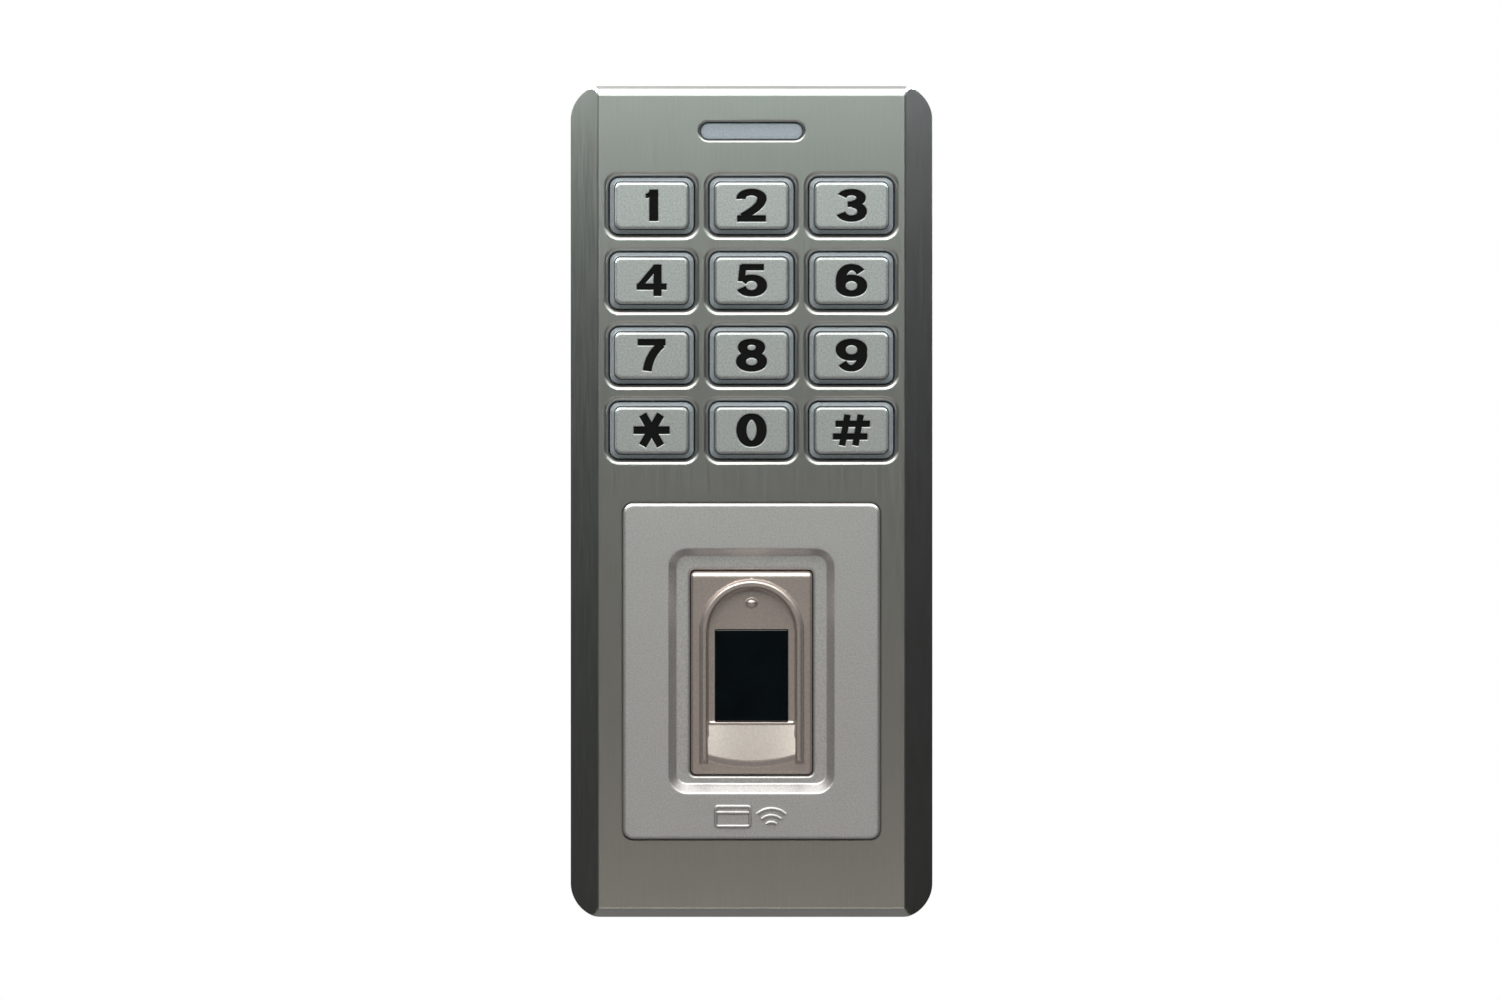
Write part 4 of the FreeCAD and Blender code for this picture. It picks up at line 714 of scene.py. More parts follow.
def quarter(
    start: Ring, inwards: float, back: float, rise_first: bool, steps: int = 5
) -> list[Ring]:
    """Rings along a quarter ellipse from start, inwards and to back.

    Args:
        start: The ring that the round starts from.
        inwards: How far the round goes in, negative for outwards.
        back: How far it goes along Y.
        rise_first: True if it leaves start along Y.
        steps: The number of rings that are added.

    Returns:
        The rings after start.
    """
    t = np.linspace(0, math.pi / 2, steps + 1)[1:]
    along, over = (1 - np.cos(t), np.sin(t)) if rise_first else (np.sin(t), 1 - np.cos(t))
    return [start.inset(inwards * a, start.y + back * o) for a, o in zip(along, over)]


def loft(
    rings: Sequence[Ring],
    x: float,
    z: float,
    steps: int = 10,
    closed: bool = False,
) -> Skin:
    """The skin that runs from ring to ring.

    Args:
        rings: The rings in order, from the front's middle round to the back's.
        x: The rings' middle.
        z: The rings' middle.
        steps: Segments in a corner.
        closed: True if the last ring joins the first; otherwise both ends are filled.

    Returns:
        The closed skin.
    """
    loops = []
    for ring in rings:
        outline = round_box(ring.half_width, ring.half_height, ring.radius, steps)
        y = np.full(len(outline), ring.y)
        loops.append(np.stack([outline[:, 0] + x, y, outline[:, 1] + z + ring.lift], -1))
    count = len(loops[0])
    rows = loops + loops[:1] if closed else loops
    faces = grid_faces(len(rows), count, wrap=True)
    total = count * len(loops)
    if closed:
        faces = [[i % total for i in face] for face in faces]
    else:
        faces.append(list(range(count)))
        faces.append(list(range(total - 1, total - 1 - count, -1)))
    return Skin(np.vstack(loops), faces)


def finish_normals(obj: bpy.types.Object) -> None:
    """Makes an object's faces point outwards, and lets its large faces stay flat.

    Args:
        obj: The object, a closed mesh.
    """
    work = bmesh.new()
    work.from_mesh(obj.data)
    bmesh.ops.recalc_face_normals(work, faces=work.faces)
    work.to_mesh(obj.data)
    work.free()
    weigh = obj.modifiers.new("weighted_normals", "WEIGHTED_NORMAL")
    weigh.keep_sharp = True


def smooth_step(value: np.ndarray) -> np.ndarray:
    """Turns 0 to 1 into a soft step, flat at both ends."""
    t = np.clip(value, 0.0, 1.0)
    return t * t * (3 - 2 * t)


def round_over(inside: np.ndarray, radius: float) -> np.ndarray:
    """How far a rounded edge falls: a quarter circle over the first radius from the edge."""
    t = np.clip(radius - inside, 0.0, radius)
    return radius - np.sqrt(radius**2 - t**2)


def inside_box(x: np.ndarray, z: np.ndarray, half: Sequence[float], radius: float) -> np.ndarray:
    """Distance to the outline of a rounded rectangle, positive inside.

    It is the distance to the corner's arc beyond both straight sides, and to the nearer
    side elsewhere.

    Args:
        x: Places across the rectangle.
        z: Places up the rectangle.
        half: Half its width and half its height.
        radius: Its corner radius.

    Returns:
        The distance at each place.
    """
    qx = np.abs(x) - half[0] + radius
    qz = np.abs(z) - half[1] + radius
    outside = np.hypot(np.maximum(qx, 0), np.maximum(qz, 0))
    return radius - outside - np.minimum(np.maximum(qx, qz), 0)


@dataclass(frozen=True)
class Patch:
    """A fine grid that fills a rounded rectangle, row by row.

    Each row is as wide as the outline at its height, and rows crowd towards the ends by the
    cosine law, so that the grid's rim follows the round corners.

    Attributes:
        half_width: Half its width.
        half_height: Half its height.
        radius: Its corner radius.
        step: The grid's spacing.
    """

    half_width: float
    half_height: float
    radius: float
    step: float

    def places(self) -> tuple[np.ndarray, np.ndarray]:
        """Works out where the grid's points lie.

        Returns:
            Their x and their z, as two arrays of rows and columns.
        """
        straight = self.half_height - self.radius
        middle = np.linspace(-straight, straight, int(2 * straight / self.step) + 1)
        turns = max(int(1.8 * self.radius / self.step), 4)
        end = straight + self.radius * np.sin(np.linspace(0, math.pi / 2, turns + 1)[1:])
        z = np.concatenate([-end[::-1], middle, end])
        beyond = np.maximum(np.abs(z) - straight, 0)
        pull = self.radius - np.sqrt(np.maximum(self.radius**2 - beyond**2, 0))
        share = np.linspace(-1, 1, int(2 * self.half_width / self.step) + 1)
        half = (self.half_width - pull)[:, None]
        return half * share[None, :], np.repeat(z[:, None], len(share), axis=1)

    def skin(
        self, front: np.ndarray, back: float, x: float, z: float, value: np.ndarray | None = None
    ) -> Skin:
        """Closes a height field with straight sides and a flat back.

        Args:
            front: The Y of each of the grid's points.
            back: The Y of the back.
            x: Where the grid's middle lies.
            z: Where the grid's middle lies.
            value: The number of each point that is kept as "legend", if any.

        Returns:
            The closed skin.
        """
        px, pz = self.places()
        rows, columns = px.shape
        number = np.arange(rows * columns).reshape(rows, columns)
        top_and_left = [number[-1, -2::-1], number[-2:0:-1, 0]]
        rim = np.concatenate([number[0, :], number[1:, -1], *top_and_left])
        points = np.stack([px + x, front, pz + z], -1).reshape(-1, 3)
        behind = points[rim].copy()
        behind[:, 1] = back
        first = len(points)
        count = len(rim)
        here, there = rim, first + np.arange(count)
        sides = np.stack([here, there, np.roll(there, -1), np.roll(here, -1)], -1)
        faces = grid_faces(rows, columns) + sides.tolist() + [there[::-1].tolist()]
        values = {}
        if value is not None:
            values["legend"] = np.concatenate([value.ravel(), np.full(count, FAR_OUTSIDE)])
        return Skin(np.vstack([points, behind]), faces, values)


# ---------------------------------------------------------------- the frame's sizes


@dataclass(frozen=True)
class Place:
    """The box of one CAD node, in millimetres."""

    low: np.ndarray
    high: np.ndarray

    @staticmethod
    def of(node: str) -> Place:
        """Reads a node's box from the frame.

        Args:
            node: The node's name.

        Returns:
            Its box.
        """
        low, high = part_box(node)
        return Place(np.array(low) / MM, np.array(high) / MM)

    @property
    def middle(self) -> np.ndarray:
        """The box's middle."""
        return (self.low + self.high) / 2

    @property
    def half(self) -> np.ndarray:
        """Half the box's size along each axis."""
        return (self.high - self.low) / 2


def settle(
    obj: bpy.types.Object,
    body: str,
    nodes: Iterable[str],
    finish: Finish,
    wardrobe: Wardrobe,
) -> None:
    """Puts a finished piece into the frame.

    Args:
        obj: The piece.
        body: The CAD body that it rides on.
        nodes: The CAD nodes that it stands for.
        finish: Its finish.
        wardrobe: Where the materials are kept.
    """
    wardrobe.dress(obj, finish)
    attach(obj, body)
    if nodes:
        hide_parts(*nodes)
    LOG.info("%s: %d points", obj.name, len(obj.data.vertices))


# ---------------------------------------------------------------- keypad


class Key(Enum):
    """The twelve keys, by the last word of their nodes' names."""

    ONE = "1"
    TWO = "2"
    THREE = "3"
    FOUR = "4"
    FIVE = "5"
    SIX = "6"
    SEVEN = "7"
    EIGHT = "8"
    NINE = "9"
    STAR = "star"
    ZERO = "0"
    HASH = "hash"


def bow(
    x: float, z: float, wide: float, tall: float, start_deg: float, end_deg: float, steps: int = 40
) -> np.ndarray:
    """Points along an ellipse.

    Args:
        x: Its middle.
        z: Its middle.
        wide: Its half width.
        tall: Its half height.
        start_deg: Where the points start, 0 at the right and 90 at the top.
        end_deg: Where they end.
        steps: The number of segments.

    Returns:
        The points (x, z).
    """
    a = np.radians(np.linspace(start_deg, end_deg, steps + 1))
    return np.stack([x + wide * np.cos(a), z + tall * np.sin(a)], -1)


def bend(
    start: Sequence[float], pull: Sequence[float], end: Sequence[float], steps: int = 16
) -> np.ndarray:
    """Points along a quadratic curve from start to end that leans towards pull.

    Args:
        start: Its first point.
        pull: The point that it leans towards.
        end: Its last point.
        steps: The number of segments.

    Returns:
        The points (x, z).
    """
    t = np.linspace(0, 1, steps + 1)[:, None]
    a, b, c = (np.array(p, float) for p in (start, pull, end))
    return (1 - t) ** 2 * a + 2 * t * (1 - t) * b + t**2 * c


@dataclass(frozen=True)
class Stroke:
    """A stroke of a sign, with square ends.

    Attributes:
        line: Its middle line, as points (x, z).
        stem: Its width where it runs upright.
        bar: Its width where it runs level.
        swell: What the paint's soft edge takes from each side.
    """

    line: np.ndarray
    stem: float = 1.75
    bar: float = 1.15
    swell: float = 0.13

    def inside(self, x: np.ndarray, z: np.ndarray) -> np.ndarray:
        """Distance to the stroke's edge, positive inside.

        It is half the width less the distance to the nearest run of the line. Past an open
        line's end, the distance to the square cut across the end takes over if it is less.

        Args:
            x: Places across the sign.
            z: Places up the sign.

        Returns:
            The distance at each place.
        """
        start, end = self.line[:-1], self.line[1:]
        run = end - start
        length = np.hypot(run[:, 0], run[:, 1])
        tx, tz = run[:, 0] / length, run[:, 1] / length
        half = np.hypot(self.stem * tz, self.bar * tx) / 2 + self.swell
        dx = x[..., None] - start[:, 0]
        dz = z[..., None] - start[:, 1]
        free = dx * tx + dz * tz
        held = np.clip(free, 0, length)
        gap = np.hypot(dx - held * tx, dz - held * tz)
        best = (half - gap).argmax(-1)
        if np.allclose(self.line[0], self.line[-1]):
            return np.take_along_axis(half - gap, best[..., None], -1)[..., 0]
        held[..., 0] = np.minimum(free[..., 0], length[0])
        held[..., -1] = np.maximum(free[..., -1], held[..., -1])
        gap = np.hypot(dx - held * tx, dz - held * tz)
        before = np.concatenate([[0.0], np.cumsum(length)[:-1]])
        picked = np.stack([half - gap, held + before], -1)
        picked = np.take_along_axis(picked, best[..., None, None], -2)[..., 0, :]
        ends = np.minimum(picked[..., 1], length.sum() - picked[..., 1])
        return np.minimum(picked[..., 0], ends)


def straight(x0: float, z0: float, x1: float, z1: float) -> np.ndarray:
    """A straight line's two points."""
    return np.array([[x0, z0], [x1, z1]])


def six_strokes() -> list[Stroke]:
    """Draws a six: a closed bowl with a spine that curls over it.

    Returns:
        Its two strokes.
    """
    return [
        Stroke(bow(0.0, -1.05, 2.08, 1.5, 0, 360), 1.8),
        Stroke(bow(0.05, 0.0, 2.13, 2.52, 195, 35), 1.8),
    ]


def strokes_of(key: Key) -> list[Stroke]:
    """Draws a key's sign, in a box about 5.7 mm wide and 6.2 mm high; hash and star are wider.

    Args:
        key: The key.

    Returns:
        The sign's strokes.
    """
    slant = math.radians(10)
    lean = 3.05 * math.tan(slant)
    arm = 3.55
    signs: dict[Key, list[Stroke]] = {
        Key.ONE: [
            Stroke(straight(0.4, -3.1, 0.4, 3.1), 1.6),
            Stroke(bow(-1.2, 3.2, 1.4, 1.4, -90, -15), 0.85, 0.78),
        ],
        Key.TWO: [
            Stroke(
                np.vstack(
                    [
                        bow(0.0, 1.28, 2.0, 1.27, 186, -22),
                        bend((1.84, 0.72), (1.35, -0.55), (-1.9, -2.25))[1:],
                    ]
                ),
                1.7,
                1.2,
            ),
            Stroke(straight(-2.85, -2.52, 2.85, -2.52)),
        ],
        Key.THREE: [
            Stroke(bow(0.0, 1.42, 1.85, 1.12, 168, -90), 1.7),
            Stroke(bow(0.0, -1.2, 2.05, 1.34, 90, -170), 1.75),
            Stroke(straight(-0.8, 0.22, 0.2, 0.22), bar=1.0),
        ],
        Key.FOUR: [
            Stroke(straight(1.13, -3.12, 1.13, 3.12), 1.45),
            Stroke(straight(-2.95, -1.22, 2.95, -1.22), bar=1.12),
            Stroke(straight(0.95, 2.75, -2.35, -1.15), 1.0, 0.95),
        ],
        Key.FIVE: [
            Stroke(straight(-2.0, 2.52, 2.45, 2.52)),
            Stroke(straight(-1.6, 3.0, -1.98, -0.3), 1.2),
            Stroke(bow(0.0, -1.02, 2.05, 1.5, 152, -166), 1.8),
        ],
        Key.SIX: six_strokes(),
        Key.SEVEN: [
            Stroke(straight(-2.75, 2.5, 2.75, 2.5), bar=1.2),
            Stroke(bend((2.1, 2.2), (-0.5, 0.2), (-0.85, -3.12)), 1.6, 1.35),
        ],
        Key.EIGHT: [
            Stroke(bow(0.0, 1.48, 1.72, 1.1, 0, 360), 1.72, 1.08),
            Stroke(bow(0.0, -1.22, 2.03, 1.33, 0, 360), 1.8),
        ],
        Key.NINE: [Stroke(-s.line, s.stem, s.bar) for s in six_strokes()],
        Key.STAR: [
            Stroke(
                arm * np.array([[-math.cos(a), -math.sin(a)], [math.cos(a), math.sin(a)]]),
                1.45,
                1.4,
            )
            for a in (0.0, math.radians(60), math.radians(120))
        ],
        Key.ZERO: [Stroke(bow(0.0, 0.0, 1.95, 2.6, 0, 360, 60), 1.85, 1.1)],
        Key.HASH: [
            Stroke(straight(x - lean, -3.05, x + lean, 3.05), 1.15, 0.0) for x in (-1.28, 1.28)
        ]
        + [
            Stroke(straight(-3.4 + shift, z, 3.4 + shift, z))
            for z, shift in ((1.22, 0.25), (-1.22, -0.25))
        ],
    }
    return signs[key]


@dataclass
class Keypad:
    """The twelve keys: metal caps with engraved signs, in silicone skirts.

    Attributes:
        grid: Spacing of the points on a cap's face.
        cap_round: Round of a cap's front edge.
        cap_corner: Corner radius of a cap.
        cut_depth: Depth of an engraved sign.
        cut_slope: Width of the engraving's sloping side.
        skirt_corner: Corner radius of a skirt.
        skirt_fall: How far a skirt's rim falls to its outer edge.
        rim_gap: Gap between cap and skirt.
        rim_width: Width of the bevel round the skirt's pocket.
        rim_drop: Depth of that bevel.
        brow_round: Round of the skirt's outer edge, across.
        brow_drop: Round of the skirt's outer edge, front to back.
        lip_reach: The lip above and below the skirt, behind the case.
        lip_thick: The lip, front to back.
        lip_seam: A sliver that keeps the lip's two corners apart.
        pill_round: Half the pill's width.
        pill_tall: The pill behind the lip.
    """

    wardrobe: Wardrobe
    grid: float = 0.08
    cap_round: float = 0.6
    cap_corner: float = 1.3
    cut_depth: float = 0.3
    cut_slope: float = 0.22
    skirt_corner: float = 1.8
    skirt_fall: float = 0.75
    rim_gap: float = 0.1
    rim_width: float = 0.1
    rim_drop: float = 0.12
    brow_round: float = 0.16
    brow_drop: float = 0.15
    lip_reach: float = 0.8
    lip_thick: float = 0.7
    lip_seam: float = 0.01
    pill_round: float = 2.2
    pill_tall: float = 0.75

    def build(self) -> None:
        """Makes all keys."""
        for key in Key:
            self.cap(key)
            self.skirt(key)

    def cap(self, key: Key) -> bpy.types.Object:
        """Makes one cap: a flat face, rounded at its edge, with the sign cut in.

        Args:
            key: The key.

        Returns:
            The cap.
        """
        node = f"key_cap_{key.value}"
        place = Place.of(node)
        half = (place.half[0] - self.rim_gap, place.half[2] - self.rim_gap)
        patch = Patch(*half, self.cap_corner, self.grid)
        x, z = patch.places()
        depth = np.max([stroke.inside(x, z) for stroke in strokes_of(key)], axis=0)
        edge = inside_box(x, z, half, self.cap_corner)
        cut = self.cut_depth * smooth_step(depth / self.cut_slope)
        y = place.low[1] + round_over(edge, self.cap_round) + cut
        skin = patch.skin(y, place.high[1], place.middle[0], place.middle[2], depth)
        obj = skin.piece(f"cap_{key.value}", 60.0)
        settle(obj, f"key_{key.value}", [node], CAP_CHROME, self.wardrobe)
        return obj

    def skirt(self, key: Key) -> bpy.types.Object:
        """Makes one skirt: a rim that falls outwards, a floor, a lip and the pill's stem.

        Args:
            key: The key.

        Returns:
            The skirt.
        """
        node = f"key_skirt_{key.value}"
        place, cap = Place.of(node), Place.of(f"key_cap_{key.value}")
        front = place.low[1]
        back = place.high[1] - self.pill_tall
        lip_front = back - self.lip_thick
        lip = Ring(place.half[0], place.half[2], self.skirt_corner, back)
        tall = place.half[2] - self.lip_reach
        outside = Ring(place.half[0], tall, self.skirt_corner, lip_front)
        pocket = Ring(cap.half[0], cap.half[2], self.cap_corner, cap.high[1])
        shoulder = outside.inset(self.brow_round, front + self.skirt_fall)
        stem = Ring(self.pill_round, self.pill_round, self.pill_round - 0.01, back)
        rings = [
            pocket,
            pocket.inset(0.0, front + self.rim_drop),
            pocket.inset(-self.rim_width, front),
            shoulder,
            *quarter(shoulder, -self.brow_round, self.brow_drop, False, 3),
            outside,
            outside.inset(0.0, lip_front + self.lip_seam),
            lip.inset(0.0, lip_front + self.lip_seam),
            lip,
            stem,
            stem.inset(0.0, place.high[1]),
        ]
        skin = loft(rings, place.middle[0], cap.middle[2])
        obj = skin.piece(f"skirt_{key.value}")
        finish_normals(obj)
        settle(obj, f"key_{key.value}", [node], KEY_SILICONE, self.wardrobe)
        return obj


# ---------------------------------------------------------------- status light


@dataclass
class StatusLight:
    """The milky lens in the case's slot.

    Attributes:
        crown: How far the lens's edge falls.
        flange: The flange beyond the lens, behind the case.
        flange_thick: The flange, front to back.
        flange_corner: The flange's corner radius.
        dome: How far the lens's middle stands before its rounded edge.
    """

    wardrobe: Wardrobe
    crown: float = 0.35
    flange: float = 1.65
    flange_thick: float = 0.9
    flange_corner: float = 1.0
    dome: float = 0.02

    def build(self) -> bpy.types.Object:
        """Makes the lens: a long button with a rounded edge, on a flange.

        Returns:
            The lens.
        """
        place = Place.of("status_lens")
        half = place.half - self.flange
        face = Ring(half[0], half[2], half[2] - 0.01, place.low[1] + self.crown)
        inner = face.inset(self.crown, place.low[1])
        seat = place.high[1] - self.flange_thick
        flange = Ring(place.half[0], place.half[2], self.flange_corner, seat)
        rings = [
            face.inset(self.crown * 2, place.low[1] - self.dome),
            inner,
            *quarter(inner, -self.crown, self.crown, False),
            face.inset(0.0, seat),
            flange,
            flange.inset(0.0, place.high[1]),
        ]
        obj = loft(rings, place.middle[0], place.middle[2]).piece("light_lens")
        finish_normals(obj)
        settle(obj, ROOT_BODY, ["status_lens"], LENS_MILK, self.wardrobe)
        return obj


# ---------------------------------------------------------------- card panel


@dataclass
class CardPanel:
    """The silver panel with its recess, and the raised card sign below the recess.

    Attributes:
        corner: The panel's corner radius.
        edge: The round on its edge.
        dish: Half the recess's size at the face.
        dish_corner: The recess's corner radius.
        dish_depth: The recess's depth.
        dish_slope: Width of the recess's side.
        low_slope: How much wider it is at the bottom.
        dish_soft: The soft brow round the recess, on the face.
        mouth: Half the size of the finger guide's opening.
        mouth_corner: The opening's corner radius.
        mouth_edge: The round on the opening's edge.
        rim_thick: The panel's rim, front to back.
        floor_thick: The recess's floor, front to back.
        wall_thick: The wall round the recess, behind the rim.
        slack: Gap to the case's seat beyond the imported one.
        sign_drop: The card sign's middle below the recess's lower edge.
        sign_line: Width of the sign's lines.
        sign_height: How proud they stand.
        sign_sunk: How deep their base lies in the panel.
        card_half: Half the drawn card's width and height.
        card_corner: Its corner radius.
        card_aside: Its middle, left of the sign's middle.
        stripe_up: The card's stripe above its middle.
        wave_foot: Where the waves' middle lies from the sign's middle.
        wave_reach: The waves' radii.
    """

    wardrobe: Wardrobe
    corner: float = 2.0
    edge: float = 0.7
    dish: tuple[float, float] = (15.75, 23.4)
    dish_corner: float = 3.4
    dish_depth: float = 1.9
    dish_slope: float = 1.4
    low_slope: float = 0.5
    dish_soft: float = 0.3
    mouth: tuple[float, float] = (11.8, 19.75)
    mouth_corner: float = 0.95
    mouth_edge: float = 0.6
    rim_thick: float = 1.7
    floor_thick: float = 1.8
    wall_thick: float = 1.4
    slack: float = 0.08
    sign_drop: float = 4.5
    sign_line: float = 0.7
    sign_height: float = 0.42
    sign_sunk: float = 0.1
    card_half: tuple[float, float] = (3.3, 1.9)
    card_corner: float = 0.5
    card_aside: float = 3.6
    stripe_up: float = 0.75
    wave_foot: tuple[float, float] = (3.8, -2.6)
    wave_reach: tuple[float, ...] = (1.5, 2.8, 4.1)

    def build(self) -> None:
        """Makes the panel and its sign."""
        place = Place.of("card_panel")
        x, z = place.middle[0], place.middle[2]
        self.panel(place, x, z)
        self.sign(place.low[1], x, z - self.dish[1] - self.sign_drop)

    def panel(self, place: Place, x: float, z: float) -> bpy.types.Object:
        """Makes the panel: rings from its edge over its face, down the recess and back.

        Args:
            place: The CAD panel's box.
            x: The panel's middle.
            z: The panel's middle.

        Returns:
            The panel.
        """
        front = place.low[1]
        rim_back = front + self.rim_thick
        floor = front + self.dish_depth
        behind = floor + self.floor_thick
        size = place.half - self.slack
        outside = Ring(size[0], size[2], self.corner, front + self.edge)
        lip = Ring(*self.dish, self.dish_corner, front)
        floor_ring = Ring(
            self.dish[0] - self.dish_slope,
            self.dish[1] - self.dish_slope - self.low_slope / 2,
            self.dish_corner - self.dish_slope,
            floor,
            self.low_slope / 2,
        )
        mouth = Ring(*self.mouth, self.mouth_corner, floor, -READER_DROP)
        wall = lip.inset(-self.wall_thick, rim_back)
        brow = lip.inset(-self.dish_soft, front)
        mouth_top = mouth.inset(-self.mouth_edge, floor)
        rings = [
            outside.inset(0.0, rim_back),
            outside,
            *quarter(outside, self.edge, -self.edge, True, 6),
            brow.inset(-self.dish_soft, front),
            *self.side(brow, floor_ring),
            mouth_top.inset(-0.2, floor),
            mouth_top,
            *quarter(mouth_top, self.mouth_edge, self.mouth_edge, False, 4),
            mouth.inset(0.0, behind),
            wall.inset(0.0, behind),
            wall,
        ]
        obj = loft(rings, x, z, 14, closed=True).piece("panel_skin", 50.0)
        finish_normals(obj)
        settle(obj, ROOT_BODY, ["card_panel"], PANEL_SILVER, self.wardrobe)
        return obj

    def side(self, brow: Ring, foot: Ring) -> list[Ring]:
        """The recess's side: a straight slope with a soft brow and foot.

        Its steepness rises over the first fifth of its width, holds, and falls over the
        last fifth; the depth is the running sum of the steepness.

        Args:
            brow: The ring at the face.
            foot: The ring at the recess's floor.

        Returns:
            The rings from brow to foot.
        """
        soft_share = 0.2
        t = np.linspace(0, 1, 21)
        steep = np.clip(np.minimum(t, 1 - t) / soft_share, 0, 1)
        fall = np.concatenate([[0.0], np.cumsum((steep[1:] + steep[:-1]) / 2)])
        fall /= fall[-1]
        depth = foot.y - brow.y
        return [brow.toward(foot, a, brow.y + depth * b) for a, b in zip(t, fall)]

    def sign(self, front: float, x: float, z: float) -> bpy.types.Object:
        """Makes the card sign: a card's outline with a stripe, and three waves beside it.

        Args:
            front: The panel's face.
            x: The sign's middle.
            z: The sign's middle.

        Returns:
            The sign.
        """
        card = round_box(*self.card_half, self.card_corner, 6) - [self.card_aside, 0.0]
        skin = self.bead(np.vstack([card, card[:1]]), True)
        stripe_end = self.card_half[0] - 0.2
        left, right = -self.card_aside - stripe_end, -self.card_aside + stripe_end
        stripe = straight(left, self.stripe_up, right, self.stripe_up)
        skin = skin.joined(self.bead(stripe, False))
        for reach in self.wave_reach:
            wave = bow(*self.wave_foot, reach, reach, 48, 132, 14)
            skin = skin.joined(self.bead(wave, False))
        skin.points += [x, front, z]
        obj = skin.piece("card_sign", 70.0)
        finish_normals(obj)
        settle(obj, ROOT_BODY, [], PANEL_SILVER, self.wardrobe)
        return obj

    def bead(self, line: np.ndarray, closed: bool) -> Skin:
        """A raised line: half an ellipse carried along a path, with its base sunk.

        Args:
            line: The path, as points (x, z).
            closed: True if the path's last point is its first one.

        Returns:
            The closed skin.
        """
        run = np.gradient(line, axis=0)
        if closed:
            run[0] = run[-1] = line[1] - line[-2]
        run /= np.hypot(run[:, 0], run[:, 1])[:, None]
        a = np.linspace(0, math.pi, 9)
        across = np.append(np.cos(a), [-1.0, 1.0]) * self.sign_line / 2
        proud = np.append(-np.sin(a) * self.sign_height, [self.sign_sunk, self.sign_sunk])
        px = line[:, :1] - run[:, 1:] * across
        pz = line[:, 1:] + run[:, :1] * across
        py = np.repeat(proud[None, :], len(line), axis=0)
        rows, columns = px.shape
        points = np.stack([px, py, pz], -1).reshape(-1, 3)
        faces = grid_faces(rows, columns, wrap=True)
        if closed:
            total = (rows - 1) * columns
            return Skin(points[:total], [[i % total for i in face] for face in faces])
        faces.append(list(range(columns)))
        faces.append(list(range(rows * columns - 1, (rows - 1) * columns - 1, -1)))
        return Skin(points, faces)


# ---------------------------------------------------------------- finger guide


